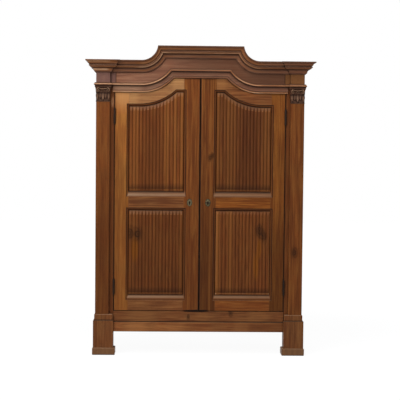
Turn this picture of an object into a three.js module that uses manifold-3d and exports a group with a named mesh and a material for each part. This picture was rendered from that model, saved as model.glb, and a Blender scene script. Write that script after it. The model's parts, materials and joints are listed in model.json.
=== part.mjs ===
// A free-standing two-door kas cupboard in walnut. Millimetres, +Z up, front towards -Y, origin on the
// floor in the middle of the footprint. Inside this file Y = 0 is the front face of the corner posts.
// Pieces that come in pairs are drawn on the right, at positive X, and mirrored to the left.
import * as THREE from "three";
import { mergeVertices } from "three/addons/utils/BufferGeometryUtils.js";
import Module from "manifold-3d";

const wasm = await Module();
wasm.setup();

// General clearances
const fit = 0.3; // between pieces that are joined or rest on each other
const runningGap = 0.5; // between pieces that slide or turn on each other
const cutOverrun = 6; // how far a cutting shape passes the face that it cuts

// The case
const caseHalfWidth = 718;
const caseDepth = 520;
const frontPostWidth = 126;
const frontPostDepth = 60;
const rearPostSide = 60;
const railThickness = 22; // sill rail, frieze board, bottom board
const shelfThickness = 20;
const sideRailThickness = 28;
const sideTopRailDrop = 40; // how far the side top rail reaches below the frieze
const sidePanelThickness = 12;
const backBoardThickness = 16;
const backBoardCount = 3;
const topBoardThickness = 16;
const caseGrooveDepth = 10;
const shelfSetback = 26; // from the backs of the doors to the front edge of a shelf
const shelfCount = 3;
const middleShelfRise = 14; // from the lock's height to the top of the middle shelf
const shelfBearerDrop = 25;
const shelfBearerReach = 18;
const shelfBearerWidth = 30;

// Heights, from the floor up
const padHeight = 51;
const blockHeight = 190;
const stepHeight = 43;
const apronClearHeight = 161;
const apronHeight = 69.5;
const sillRailHeight = 72.5;
const doorFootGap = 5;
const doorHeight = 1508.5; // at the hinge side
const doorHeadGap = 3;
const fasciaHeight = 41;
const beadHeight = 23;
const friezeHeight = 69;
const corniceHeight = 84;
const pedimentRise = 100;
const capitalHeight = 109;

// The sweep that lifts the cornice, the frieze and the door tops in the middle
const sweepInset = 186; // from the side of the doorway to the start of the sweep
const sweepTopRadius = 112; // of the cornice's top edge
const sweepRadiusShare = 0.86; // growth of a line's radius for each millimetre that it lies lower
const panelSweepShift = 15; // the door panels' arch starts this much further out
const sweepSteps = 9;

// Feet. A lap is past the inner side of the post, a reach past its outer side.
const padInnerLap = 13;
const padOuterReach = 18;
const padProud = 36;
const padRound = 7;
const blockInnerLap = 0;
const blockOuterReach = 13;
const blockProud = 30;
const blockChamfer = 3;
const stepInnerLap = -4;
const stepOuterReach = 5;
const stepProud = 25.5;
const stepBevel = 4;
const roundSteps = 3;

// Apron
const apronProud = 8;
const apronRound = 6;

// Pilasters and capitals
const pilasterWidth = 95;
const pilasterProud = 22;
const pilasterChamfer = 3;
const capitalFlare = 7;
const abacusHeight = 11;
const abacusOverhang = 9.5;
const abacusProud = 34;
const abacusHollow = 6;
const voluteRadius = 12;
const voluteProud = 36;
const voluteEyeRadius = 4.5;
const voluteEyeProud = 2.5;
const voluteSides = 14;
const leafLift = 8;
const rosetteRadius = 9;
const rosetteProud = 33;
const lowerLeafCount = 3;
const upperLeafCount = 2;

// Mouldings
const corniceProjection = 70;
const beadProjection = 15;
const fasciaProjection = 9;
const fasciaLap = 12; // onto the face of the post
const friezeTopDrop = 6; // the frieze board ends this far under the cornice's top edge

// Doors
const doorThickness = 28;
const doorSideGap = 3;
const meetingHalfGap = 2;
const hangingStileWidth = 81;
const meetingStileWidth = 94;
const topRailHeight = 75;
const lockRailHeight = 76;
const bottomRailHeight = 72;
const lowerOpeningHeight = 643.5;
const mouldingWidth = 16;
const footMouldingWidth = 36; // along the foot of an opening
const mouldingDepth = 12;
const panelGrooveDepth = 12;
const panelGrooveFront = 14;
const panelTongue = 8;
const panelPlay = 1; // room for the panel to move in its groove
const tenonLength = 30;
const tenonShoulder = 15;
const fieldGap = 2;
const fieldHeadRun = 30;
const fieldFootRun = 20;
const fieldSideRun = 3;
const reedRecess = 4;
const reedDepth = 6;
const reedCount = 16;
const reedSteps = 6;
const meetingBeadWidth = 20;
const meetingBeadProud = 4;
const meetingBeadSteps = 6;

// Hinges
const hingeAxisProud = 8;
const knuckleRadius = 7;
const knuckleLength = 52;
const hingePinRadius = 3;
const hingeLeafThickness = 2;
const hingeLeafDepth = 24;
const hingeFinialLength = 12;
const hingeSides = 14;
const upperHingeDrop = 160; // from the door's top corner to the middle of the upper hinge
const lowerHingeRise = 164; // from the door's foot to the middle of the lower hinge

// Lock, key and escutcheons
const rightKeyholeX = 58;
const leftKeyholeX = 69;
const escutcheonHalfWidth = 18.5;
const escutcheonHalfHeight = 26.5;
const escutcheonThickness = 2.5;
const escutcheonSides = 32;
const keyholeSlotHalfWidth = 2.5;
const keyholeDrop = 15;
const keyShankRadius = 3.2;
const keyBowRadius = 13;
const keyBowWire = 2.6;
const keyReach = 30; // from the door face to the centre of the bow
const keyBitLength = 11;
const keyBitHeight = 5;
const keyBitThickness = 3;
const keyCollarRadius = 5.5;
const keyCollarLength = 3;
const keySides = 12;
const lockCaseWidth = 78;
const lockCaseHeight = 92;
const lockCaseDepth = 20;
const lockCaseWall = 2;
const lockCaseEdge = 6; // from the middle of the cupboard
const lockBoltHeight = 16;
const lockBoltThickness = 7;
const lockBoltLength = 56;
const lockBoltRise = 16; // from the key's axis to the bolt's lower edge
const lockBoltStandOff = 3; // from the door's back to the bolt

// Door bolts on the back of the left door
const doorBoltX = 44;
const doorBoltHalfWidth = 7;
const doorBoltTaper = 2; // the bar narrows by this on each side towards its back
const doorBoltDepth = 9;
const doorBoltSunk = 4;
const doorBoltLength = 300;
const doorBoltTravel = 25;
const doorBoltInset = 6;
const doorBoltKnobRadius = 7;
const doorBoltKnobReach = 12; // from the door's back to the centre of the knob
const doorBoltNeckRadius = 3.5;

// Tables of shares
// Cornice: share of the projection, share of the height
const corniceProfileShares = [
  [0.09, 0],
  [0.11, 0.05],
  [0.19, 0.07],
  [0.21, 0.13],
  [0.24, 0.23],
  [0.31, 0.32],
  [0.42, 0.39],
  [0.53, 0.42],
  [0.57, 0.43],
  [0.57, 0.48],
  [0.65, 0.5],
  [0.69, 0.55],
  [0.65, 0.6],
  [0.65, 0.63],
  [0.7, 0.68],
  [0.76, 0.78],
  [0.86, 0.86],
  [0.95, 0.89],
  [1, 0.92],
  [1, 1],
];
// Architrave bead: share of the projection, share of the height
const beadProfileShares = [
  [0.6, 0],
  [0.62, 0.16],
  [0.86, 0.26],
  [1, 0.45],
  [0.92, 0.64],
  [0.66, 0.76],
  [0.6, 1],
];
// Fascia: share of the projection, share of the height
const fasciaProfileShares = [
  [0.85, 0],
  [1, 0.07],
  [1, 0.27],
  [0.9, 0.33],
  [0.6, 0.36],
  [0.56, 1],
];
// Moulding round a door opening: share of the width, share of the depth
const doorMouldingShares = [
  [0, 0.25],
  [0.2, 0.28],
  [0.5, 0.42],
  [0.76, 0.64],
  [0.9, 0.84],
  [1, 1],
];
// Capital bell: share of the height, share of the flare
const bellShares = [
  [0, 0.2],
  [0.025, 0.6],
  [0.06, 0.6],
  [0.085, 0.1],
  [0.45, 0.1],
  [0.7, 0.35],
  [0.9, 1],
];
// Leaf: share of its height, of its half width, of its lift
const leafShares = [
  [0, 0.8, 0.35],
  [0.3, 1, 0.5],
  [0.6, 0.9, 0.7],
  [0.85, 0.62, 1],
  [1, 0.3, 0.85],
];
const leafShoulderShare = 0.55; // of the half width, where the leaf's cheek is fullest
const leafCheekShare = 0.6; // of the lift, at the shoulder
const lowerLeafSpanShares = [0.08, 0.52]; // of the capital's height
const upperLeafSpanShares = [0.3, 0.78];
const voluteHeightShare = 0.76;
const rosetteDepthShare = 0.45; // of the rosette's radius

// Levels
const blockFoot = padHeight;
const stepFoot = blockFoot + blockHeight;
const pilasterFoot = stepFoot + stepHeight;
const sillRailFoot = apronClearHeight + apronHeight;
const doorwaySill = sillRailFoot + sillRailHeight;
const doorFoot = doorwaySill + doorFootGap;
const doorTop = doorFoot + doorHeight;
const doorwayHead = doorTop + doorHeadGap;
const entablatureFoot = doorwayHead + fasciaHeight;
const friezeFoot = entablatureFoot + beadHeight;
const corniceFoot = friezeFoot + friezeHeight;
const corniceTop = corniceFoot + corniceHeight;
const caseTop = corniceTop - topBoardThickness - fit - friezeTopDrop;
const capitalFoot = entablatureFoot - capitalHeight;

// Places across the front
const doorwayHalfWidth = caseHalfWidth - frontPostWidth;
const sweepCentreX = doorwayHalfWidth - sweepInset;
const panelSweepCentreX = sweepCentreX + panelSweepShift;
const fasciaEnd = doorwayHalfWidth + fasciaLap;
const pilasterInnerX = caseHalfWidth - pilasterWidth;
const pilasterCentreX = (caseHalfWidth + pilasterInnerX) / 2;
const doorHingeEdgeX = doorwayHalfWidth - doorSideGap;
const openingOuterX = doorHingeEdgeX - hangingStileWidth;
const openingInnerX = meetingHalfGap + meetingStileWidth;
const hingeAxisX = (doorwayHalfWidth + doorHingeEdgeX) / 2;
const frontReach = pilasterProud + corniceProjection;
const rearPostFrontY = caseDepth - rearPostSide;
const rearPostInnerX = caseHalfWidth - rearPostSide;
const backBoardFrontY = caseDepth - backBoardThickness;
const sideRailInnerX = caseHalfWidth - sideRailThickness;
const sidePanelInnerX = caseHalfWidth - (sideRailThickness + sidePanelThickness) / 2;
const sidePanelOuterX = sidePanelInnerX + sidePanelThickness;
const sideTopRailFoot = entablatureFoot - sideTopRailDrop;
const shelfFrontY = doorThickness + shelfSetback;

// Places on the doors
const lowerOpeningFoot = doorFoot + bottomRailHeight;
const lowerOpeningHead = lowerOpeningFoot + lowerOpeningHeight;
const upperOpeningFoot = lowerOpeningHead + lockRailHeight;
const upperOpeningHead = doorTop - topRailHeight;
const lockHeight = (lowerOpeningHead + upperOpeningFoot) / 2;
const shelfSpacing = (lockHeight + middleShelfRise - doorwaySill) / 2;
const upperHingeHeight = doorTop - upperHingeDrop;
const lowerHingeHeight = doorFoot + lowerHingeRise;
const sightOuterX = openingOuterX - mouldingWidth;
const sightInnerX = openingInnerX + mouldingWidth;
const meetingTop = doorTop + pedimentRise;
const keyholeRadius = keyShankRadius + runningGap;
const lockBoltFrontY = doorThickness + lockBoltStandOff;
const lockBoltFoot = lockHeight + lockBoltRise;

// Working with solids

function reversed(triangles) {
  const turned = new Uint32Array(triangles.length);
  for (let i = 0; i < triangles.length; i += 3) {
    turned[i] = triangles[i];
    turned[i + 1] = triangles[i + 2];
    turned[i + 2] = triangles[i + 1];
  }
  return turned;
}

// A closed three.js geometry as a solid that can be cut and joined, its faces turned outwards.
function solidFrom(geometry) {
  const bare = geometry.clone();
  bare.deleteAttribute("normal");
  bare.deleteAttribute("uv");
  const merged = mergeVertices(bare);
  const kept = [];
  for (let i = 0; i < merged.index.count; i += 3) {
    const [a, b, c] = [0, 1, 2].map((k) => merged.index.getX(i + k));
    if (a !== b && b !== c && a !== c) kept.push(a, b, c);
  }
  const vertProperties = merged.attributes.position.array;
  const triVerts = new Uint32Array(kept);
  const solid = new wasm.Manifold(new wasm.Mesh({ numProp: 3, vertProperties, triVerts }));
  if (solid.volume() >= 0) return solid;
  const outward = reversed(triVerts);
  return new wasm.Manifold(new wasm.Mesh({ numProp: 3, vertProperties, triVerts: outward }));
}

function geometryOf(solid) {
  const mesh = solid.getMesh();
  const geometry = new THREE.BufferGeometry();
  const points = [];
  for (let i = 0; i < mesh.numVert; i += 1) {
    const start = i * mesh.numProp;
    points.push(...mesh.vertProperties.subarray(start, start + 3));
  }
  geometry.setAttribute("position", new THREE.Float32BufferAttribute(points, 3));
  geometry.setIndex([...mesh.triVerts]);
  const faceted = geometry.toNonIndexed();
  faceted.computeVertexNormals();
  return faceted;
}

function joined(solids) {
  return solids.reduce((sum, solid) => sum.add(solid));
}

function cut(solid, cutters) {
  return cutters.reduce((rest, cutter) => rest.subtract(cutter), solid);
}

// The same solid on the other side of the cupboard.
function mirrored(solid) {
  return solidFrom(geometryOf(solid).scale(-1, 1, 1));
}

function moved(solid, x, y, z) {
  return solidFrom(geometryOf(solid).translate(x, y, z));
}

// A rectangular block between two corners.
function block(x0, x1, y0, y1, z0, z1) {
  const geometry = new THREE.BoxGeometry(x1 - x0, y1 - y0, z1 - z0);
  geometry.translate((x0 + x1) / 2, (y0 + y1) / 2, (z0 + z1) / 2);
  return solidFrom(geometry);
}

// An outline in X and Z, extruded from the front to the back.
function board(outline, frontY, backY) {
  const geometry = new THREE.ExtrudeGeometry(new THREE.Shape(outline), {
    depth: backY - frontY,
    bevelEnabled: false,
  });
  geometry.rotateX(Math.PI / 2);
  geometry.translate(0, backY, 0);
  return solidFrom(geometry);
}

// An outline in X and Y, extruded upwards.
function upright(outline, footZ, topZ) {
  const geometry = new THREE.ExtrudeGeometry(new THREE.Shape(outline), {
    depth: topZ - footZ,
    bevelEnabled: false,
  });
  geometry.translate(0, 0, footZ);
  return solidFrom(geometry);
}

// An outline in Y and Z, extruded from x0 to x1.
function runner(outline, x0, x1) {
  const geometry = new THREE.ExtrudeGeometry(new THREE.Shape(outline), {
    depth: x1 - x0,
    bevelEnabled: false,
  });
  geometry.rotateY(Math.PI / 2);
  geometry.rotateX(Math.PI / 2);
  geometry.translate(x0, 0, 0);
  return solidFrom(geometry);
}

// The plane in which an end ring is nearly flat, as the two axes to keep.
function ringAxes(ring) {
  const normal = new THREE.Vector3();
  ring.forEach((p, i) => normal.add(p.clone().cross(ring[(i + 1) % ring.length])));
  const size = [normal.x, normal.y, normal.z].map(Math.abs);
  const largest = size.indexOf(Math.max(...size));
  return ["x", "y", "z"].filter((axis, i) => i !== largest);
}

// The surface through a row of closed rings with equally many points, its two ends closed.
function loft(rings) {
  const count = rings[0].length;
  const index = [];
  for (let r = 0; r < rings.length - 1; r += 1) {
    for (let k = 0; k < count; k += 1) {
      const a = r * count + k;
      const b = r * count + ((k + 1) % count);
      index.push(a, b, b + count, a, b + count, a + count);
    }
  }
  [0, rings.length - 1].forEach((r) => {
    const [u, v] = ringAxes(rings[r]);
    const flat = rings[r].map((p) => new THREE.Vector2(p[u], p[v]));
    THREE.ShapeUtils.triangulateShape(flat, []).forEach((face) => {
      const [a, b, c] = face.sort((p, q) => p - q).map((k) => r * count + k);
      index.push(...(r === 0 ? [c, b, a] : [a, b, c]));
    });
  });
  const geometry = new THREE.BufferGeometry().setFromPoints(rings.flat());
  geometry.setIndex(index);
  return solidFrom(geometry);
}

// A body of revolution about the vertical axis, from points given as radius and height.
function turned(points, sides) {
  const outline = points.map(([radius, height]) => new THREE.Vector2(radius, height));
  const geometry = new THREE.LatheGeometry(outline, sides);
  geometry.rotateX(Math.PI / 2);
  return solidFrom(geometry);
}

// A round bar along Y, between two depths.
function rod(x, z, radius, frontY, backY, sides) {
  const geometry = new THREE.CylinderGeometry(radius, radius, backY - frontY, sides);
  geometry.translate(x, (frontY + backY) / 2, z);
  return solidFrom(geometry);
}

// The sweep

// One line of the swept front at positive X, from its outer end inwards: level, then up an arc, then
// level again. A line's radius grows as it lies lower, so the lines fan out a little towards their
// ends. An arc that would pass the line's inner end stops there.
function sweptLine(height, outerX, innerX, centreX) {
  const radius = sweepTopRadius + (corniceTop - height) * sweepRadiusShare;
  const wholeTurn = Math.acos(1 - pedimentRise / radius);
  const room = (centreX - innerX - fit) / radius;
  const angle = room < Math.sin(wholeTurn) ? Math.asin(room) : wholeTurn;
  const line = [new THREE.Vector2(outerX, height)];
  for (let i = 0; i <= sweepSteps; i += 1) {
    const turn = (angle * i) / sweepSteps;
    const x = centreX - radius * Math.sin(turn);
    line.push(new THREE.Vector2(x, height + radius * (1 - Math.cos(turn))));
  }
  line.push(new THREE.Vector2(innerX, line[line.length - 1].y));
  return line;
}

// A line and its mirror image as one, from the right end to the left end.
function acrossTheFront(points) {
  const left = points.map((p) => {
    const q = p.clone();
    q.x = -p.x;
    return q;
  });
  return [...points, ...left.reverse()];
}

function sweptFrontLine(height, endX) {
  return acrossTheFront(sweptLine(height, endX, 0, sweepCentreX).slice(0, -1));
}

// A profile of shares as points of a real size, closed against the wood behind it.
function mouldingProfile(shares, projection, foot, height) {
  const shape = shares.map(([out, up]) => [out * projection, foot + up * height]);
  const top = foot + height;
  return [[fit, foot], ...shape, [fit, top]];
}

// The way of one profile point along the right half of the front: from the corner of the case, round
// the break over the frieze block, and up the sweep.
function brokenCourse([out, height]) {
  const cornerX = caseHalfWidth + out;
  const breakX = pilasterInnerX - out;
  const breakY = -pilasterProud - out;
  const swept = sweptLine(height, breakX, 0, sweepCentreX).slice(0, -1);
  return [
    new THREE.Vector3(cornerX, breakY, height),
    new THREE.Vector3(breakX, breakY, height),
    ...swept.map((p) => new THREE.Vector3(p.x, -out, p.y)),
  ];
}

// A moulding from the courses of its profile points.
function mouldingAlong(courses) {
  const whole = courses.map((course) => acrossTheFront(course));
  return loft(whole[0].map((p, station) => whole.map((course) => course[station])));
}

function corniceProfile() {
  return mouldingProfile(corniceProfileShares, corniceProjection, corniceFoot, corniceHeight);
}

function corniceFront() {
  return mouldingAlong(corniceProfile().map((point) => brokenCourse(point)));
}

// The return along the side, mitred to the front run.
function corniceReturn() {
  const mitreGap = fit + fit;
  const front = corniceProfile().map(
    ([out, z]) => new THREE.Vector3(caseHalfWidth + out, mitreGap - pilasterProud - out, z),
  );
  const back = front.map((p) => new THREE.Vector3(p.x, caseDepth, p.z));
  return loft([front, back]);
}

// The bead runs round the case and its breaks, and the fascia hangs under it between the capitals.
function architraveMoulding() {
  const foot = entablatureFoot + fit;
  const height = beadHeight - fit;
  const bead = mouldingProfile(beadProfileShares, beadProjection, foot, height);
  const courses = bead.map((point) => {
    const course = brokenCourse(point);
    return [new THREE.Vector3(course[0].x, caseDepth, point[1]), ...course];
  });
  const fasciaFoot = doorwayHead + fit;
  const fasciaTop = foot + height / 2;
  const fascia = mouldingProfile(
    fasciaProfileShares,
    fasciaProjection,
    fasciaFoot,
    fasciaTop - fasciaFoot,
  );
  const fasciaCourses = fascia.map(([out, z]) =>
    sweptLine(z, fasciaEnd, 0, sweepCentreX)
      .slice(0, -1)
      .map((p) => new THREE.Vector3(p.x, -out, p.y)),
  );
  return joined([mouldingAlong(courses), mouldingAlong(fasciaCourses)]);
}

// The frieze board sits on the front posts with its ears and carries the two frieze blocks.
function friezeBoard() {
  const endX = doorwayHalfWidth - fit;
  const friezeTop = corniceTop - friezeTopDrop;
  const head = sweptFrontLine(friezeTop, caseHalfWidth);
  const foot = sweptFrontLine(doorwayHead, endX).reverse();
  const outline = [
    ...head,
    new THREE.Vector2(-caseHalfWidth, entablatureFoot),
    new THREE.Vector2(-endX, entablatureFoot),
    ...foot,
    new THREE.Vector2(endX, entablatureFoot),
    new THREE.Vector2(caseHalfWidth, entablatureFoot),
  ];
  const blocks = [-1, 1].map((side) => {
    const [x0, x1] = [side * pilasterInnerX, side * caseHalfWidth].sort((p, q) => p - q);
    return block(x0, x1, -pilasterProud, railThickness, entablatureFoot, friezeTop);
  });
  return joined([board(outline, 0, railThickness), ...blocks]);
}

// The case

function panelGroove(y0, y1, z0, z1) {
  return block(sidePanelInnerX - fit, sidePanelOuterX + fit, y0, y1, z0, z1);
}

function shelfTop(i) {
  return doorwaySill + shelfSpacing * (i + 1);
}

// A bearer under each shelf, grown from the face of a post.
function shelfBearers(x0, y0, y1) {
  return Array.from({ length: shelfCount }, (_, i) => {
    const top = shelfTop(i) - shelfThickness - fit;
    return block(x0, x0 + shelfBearerWidth, y0, y1, top - shelfBearerDrop, top);
  });
}

// The front post stands on the foot's pad, and its back half rises behind the frieze board.
function frontPost() {
  const foot = padHeight + fit;
  const shoulder = entablatureFoot - fit;
  const behindFrieze = railThickness + fit;
  const lower = block(doorwayHalfWidth, caseHalfWidth, 0, frontPostDepth, foot, shoulder);
  const upper = block(
    doorwayHalfWidth,
    caseHalfWidth,
    behindFrieze,
    frontPostDepth,
    foot,
    caseTop,
  );
  const bearerBack = frontPostDepth + shelfBearerReach;
  const bearers = shelfBearers(doorwayHalfWidth, railThickness, bearerBack);
  const grooveFoot = doorwaySill - caseGrooveDepth;
  const grooveTop = sideTopRailFoot + caseGrooveDepth;
  const grooveFront = frontPostDepth - caseGrooveDepth;
  const groove = panelGroove(grooveFront, frontPostDepth + cutOverrun, grooveFoot, grooveTop);
  return joined([lower, upper, ...bearers]).subtract(groove);
}

function rearPost() {
  const post = block(rearPostInnerX, caseHalfWidth, rearPostFrontY, caseDepth, 0, caseTop);
  const bearerFront = rearPostFrontY - shelfBearerReach;
  const bearers = shelfBearers(rearPostInnerX, bearerFront, rearPostFrontY + cutOverrun);
  const grooveBack = rearPostFrontY + caseGrooveDepth;
  const groove = panelGroove(
    rearPostFrontY - cutOverrun,
    grooveBack,
    doorwaySill - caseGrooveDepth,
    sideTopRailFoot + caseGrooveDepth,
  );
  return joined([post, ...bearers]).subtract(groove);
}

function sideRail(foot, top, grooveFoot, grooveTop) {
  const y0 = frontPostDepth + fit;
  const y1 = rearPostFrontY - fit;
  const rail = block(sideRailInnerX, caseHalfWidth, y0, y1, foot, top);
  return rail.subtract(panelGroove(y0 - cutOverrun, y1 + cutOverrun, grooveFoot, grooveTop));
}

function sideTopRail() {
  const grooveTop = sideTopRailFoot + caseGrooveDepth;
  return sideRail(sideTopRailFoot, caseTop, sideTopRailFoot - cutOverrun, grooveTop);
}

function sideBottomRail() {
  const grooveFoot = doorwaySill - caseGrooveDepth;
  return sideRail(apronClearHeight, doorwaySill, grooveFoot, doorwaySill + cutOverrun);
}

function sidePanel() {
  const reach = caseGrooveDepth - panelPlay;
  return block(
    sidePanelInnerX,
    sidePanelOuterX,
    frontPostDepth - reach,
    rearPostFrontY + reach,
    doorwaySill - reach,
    sideTopRailFoot + reach,
  );
}

// The plan of a board that fills the case, notched round the four posts.
function caseFloorPlan(frontY) {
  const sideX = sideRailInnerX - fit;
  const frontX = doorwayHalfWidth - fit;
  const notchY = frontPostDepth + fit;
  const rearX = rearPostInnerX - fit;
  const rearNotchY = rearPostFrontY - fit;
  const backY = backBoardFrontY - fit;
  const right = [
    [frontX, frontY],
    [frontX, notchY],
    [sideX, notchY],
    [sideX, rearNotchY],
    [rearX, rearNotchY],
    [rearX, backY],
  ];
  return acrossTheFront(right.map(([x, y]) => new THREE.Vector2(x, y)));
}

function bottomBoard() {
  const floor = upright(
    caseFloorPlan(railThickness + fit),
    doorwaySill - railThickness,
    doorwaySill,
  );
  const gap = runningGap;
  const halfWidth = doorBoltHalfWidth + gap;
  const boltFrontY = doorThickness - doorBoltSunk;
  const hole = block(
    -doorBoltX - halfWidth,
    -doorBoltX + halfWidth,
    boltFrontY - gap,
    boltFrontY + doorBoltDepth + gap,
    doorwaySill - railThickness - cutOverrun,
    doorwaySill + cutOverrun,
  );
  return floor.subtract(hole);
}

function shelf() {
  return upright(caseFloorPlan(shelfFrontY), -shelfThickness, 0);
}

function topBoard() {
  const foot = caseTop + fit;
  const frontY = railThickness + fit;
  return block(-caseHalfWidth, caseHalfWidth, frontY, caseDepth, foot, foot + topBoardThickness);
}

function backBoardWidth() {
  const clear = rearPostInnerX + rearPostInnerX;
  return (clear - fit * (backBoardCount + 1)) / backBoardCount;
}

function backBoard() {
  return block(0, backBoardWidth(), backBoardFrontY, caseDepth, apronClearHeight, caseTop);
}

function sillRail() {
  const endX = doorwayHalfWidth - fit;
  return block(-endX, endX, 0, railThickness, sillRailFoot, doorwaySill);
}

// The apron stands a little proud of the sill rail, with a rounded upper edge.
function apron() {
  const endX = doorwayHalfWidth - fit;
  const top = sillRailFoot - fit;
  const front = -apronProud;
  const round = Array.from({ length: roundSteps + 1 }, (_, i) => {
    const turn = ((Math.PI / 2) * i) / roundSteps;
    const y = front + apronRound * (1 - Math.cos(turn));
    return new THREE.Vector2(y, top - apronRound * (1 - Math.sin(turn)));
  });
  const back = railThickness - apronProud;
  const outline = [
    new THREE.Vector2(back, top),
    new THREE.Vector2(back, apronClearHeight),
    new THREE.Vector2(front, apronClearHeight),
    ...round,
  ];
  return runner(outline, -endX, endX);
}

// Feet, pilasters and capitals

function rectangleRing(x0, x1, y0, y1, inset, z) {
  return [
    new THREE.Vector3(x0 + inset, y0 + inset, z),
    new THREE.Vector3(x1 - inset, y0 + inset, z),
    new THREE.Vector3(x1 - inset, y1 - inset, z),
    new THREE.Vector3(x0 + inset, y1 - inset, z),
  ];
}

// A pad with its upper and lower edges rounded.
function roundedPad(x0, x1, y0, y1, height, radius) {
  const rings = [];
  for (let i = 0; i <= roundSteps; i += 1) {
    const turn = ((Math.PI / 2) * i) / roundSteps;
    const inset = radius * (1 - Math.sin(turn));
    rings.push(rectangleRing(x0, x1, y0, y1, inset, radius * (1 - Math.cos(turn))));
  }
  for (let i = 0; i <= roundSteps; i += 1) {
    const turn = ((Math.PI / 2) * i) / roundSteps;
    const inset = radius * (1 - Math.cos(turn));
    rings.push(rectangleRing(x0, x1, y0, y1, inset, height - radius * (1 - Math.sin(turn))));
  }
  return loft(rings);
}

function chamferedBlock(x0, x1, y0, y1, z0, z1, chamfer) {
  return loft([
    rectangleRing(x0, x1, y0, y1, 0, z0),
    rectangleRing(x0, x1, y0, y1, 0, z1 - chamfer),
    rectangleRing(x0, x1, y0, y1, chamfer, z1),
  ]);
}

// A foot: a pad under the post, and a block and a plinth step that wrap round its front and side.
function foot() {
  const padBack = frontPostDepth + blockChamfer;
  const tall = chamferedBlock(
    doorwayHalfWidth - blockInnerLap,
    caseHalfWidth + blockOuterReach,
    -blockProud,
    frontPostDepth,
    blockFoot - padRound,
    stepFoot,
    blockChamfer,
  );
  const step = chamferedBlock(
    doorwayHalfWidth - stepInnerLap,
    caseHalfWidth + stepOuterReach,
    -stepProud,
    frontPostDepth,
    stepFoot - blockChamfer - fit,
    pilasterFoot,
    stepBevel,
  );
  const postRoom = block(
    doorwayHalfWidth - cutOverrun,
    caseHalfWidth + fit,
    -fit,
    frontPostDepth + cutOverrun,
    padHeight,
    pilasterFoot + cutOverrun,
  );
  const padX0 = doorwayHalfWidth - padInnerLap;
  const padX1 = caseHalfWidth + padOuterReach;
  const pad = roundedPad(padX0, padX1, -padProud, padBack, padHeight, padRound);
  return joined([pad, tall, step]).subtract(postRoom);
}

function pilaster() {
  const front = -pilasterProud;
  const c = pilasterChamfer;
  const outline = [
    [pilasterInnerX, -fit],
    [pilasterInnerX, front + c],
    [pilasterInnerX + c, front],
    [caseHalfWidth - c, front],
    [caseHalfWidth, front + c],
    [caseHalfWidth, -fit],
  ].map(([x, y]) => new THREE.Vector2(x, y));
  return upright(outline, pilasterFoot + fit, capitalFoot - fit);
}

// A leaf that stands against the bell, narrow and curled outwards at its tip.
function leaf(centreX, halfWidth, spanShares, faceY) {
  const [footShare, tipShare] = spanShares;
  const footZ = capitalFoot + footShare * capitalHeight;
  const span = (tipShare - footShare) * capitalHeight;
  const rings = leafShares.map(([up, width, lift]) => {
    const w = halfWidth * width;
    const y = faceY - leafLift * lift;
    const cheek = faceY - leafLift * lift * leafCheekShare;
    const z = footZ + span * up;
    return [
      new THREE.Vector3(centreX - w, faceY + leafLift, z),
      new THREE.Vector3(centreX - w * leafShoulderShare, cheek, z),
      new THREE.Vector3(centreX, y, z),
      new THREE.Vector3(centreX + w * leafShoulderShare, cheek, z),
      new THREE.Vector3(centreX + w, faceY + leafLift, z),
    ];
  });
  return loft(rings);
}

function leafRow(count, spanShares, faceY) {
  const pitch = pilasterWidth / count;
  const leftmost = pilasterCentreX - (pitch * (count - 1)) / 2;
  return Array.from({ length: count }, (_, i) =>
    leaf(leftmost + pitch * i, pitch / 2, spanShares, faceY),
  );
}

// The bell of the capital: the pilaster's plan, flaring towards the top over a thin astragal.
function capitalBell() {
  const rings = bellShares.map(([up, growth]) => {
    const grow = capitalFlare * growth;
    const front = -pilasterProud - grow;
    const z = capitalFoot + (capitalHeight - abacusHeight) * up;
    const x0 = pilasterInnerX - grow;
    return rectangleRing(x0, caseHalfWidth + grow, front, 0, 0, z);
  });
  const last = rings[rings.length - 1];
  const top = last.map((p) => new THREE.Vector3(p.x, p.y, entablatureFoot - abacusHeight / 2));
  return loft([...rings, top]);
}

// The abacus, hollowed along its front edge.
function abacus() {
  const x0 = pilasterInnerX - abacusOverhang;
  const x1 = caseHalfWidth + abacusOverhang;
  const shape = new THREE.Shape();
  shape.moveTo(x0, 0);
  shape.lineTo(x0, -abacusProud);
  const hollowY = -abacusProud + abacusHollow + abacusHollow;
  shape.quadraticCurveTo(pilasterCentreX, hollowY, x1, -abacusProud);
  shape.lineTo(x1, 0);
  const top = entablatureFoot - fit;
  return upright(shape.getPoints(roundSteps + roundSteps), top - abacusHeight, top);
}

function volute(centreX) {
  const z = capitalFoot + capitalHeight * voluteHeightShare;
  const eyeFront = -voluteProud - voluteEyeProud;
  return joined([
    rod(centreX, z, voluteRadius, -voluteProud, -pilasterProud + leafLift, voluteSides),
    rod(centreX, z, voluteEyeRadius, eyeFront, -pilasterProud, voluteSides),
  ]);
}

function rosette() {
  const geometry = new THREE.SphereGeometry(rosetteRadius, voluteSides, roundSteps + roundSteps);
  geometry.scale(1, rosetteDepthShare, 1);
  const y = rosetteRadius * rosetteDepthShare - rosetteProud;
  geometry.translate(pilasterCentreX, y, entablatureFoot - fit - rosetteRadius);
  return solidFrom(geometry);
}

function capital() {
  const voluteX = pilasterWidth / 2 + abacusOverhang - voluteRadius;
  const faceY = -pilasterProud;
  const carved = joined([
    capitalBell(),
    abacus(),
    ...leafRow(upperLeafCount, upperLeafSpanShares, faceY),
    ...leafRow(lowerLeafCount, lowerLeafSpanShares, faceY - leafLift / 2),
    volute(pilasterCentreX - voluteX),
    volute(pilasterCentreX + voluteX),
    rosette(),
  ]);
  const behind = block(0, caseHalfWidth + capitalHeight, -fit, caseDepth, 0, corniceTop);
  return carved.subtract(behind);
}

// Doors

const lowerOpening = { foot: lowerOpeningFoot, head: lowerOpeningHead, swept: false };
const upperOpening = { foot: upperOpeningFoot, head: upperOpeningHead, swept: true };

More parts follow.
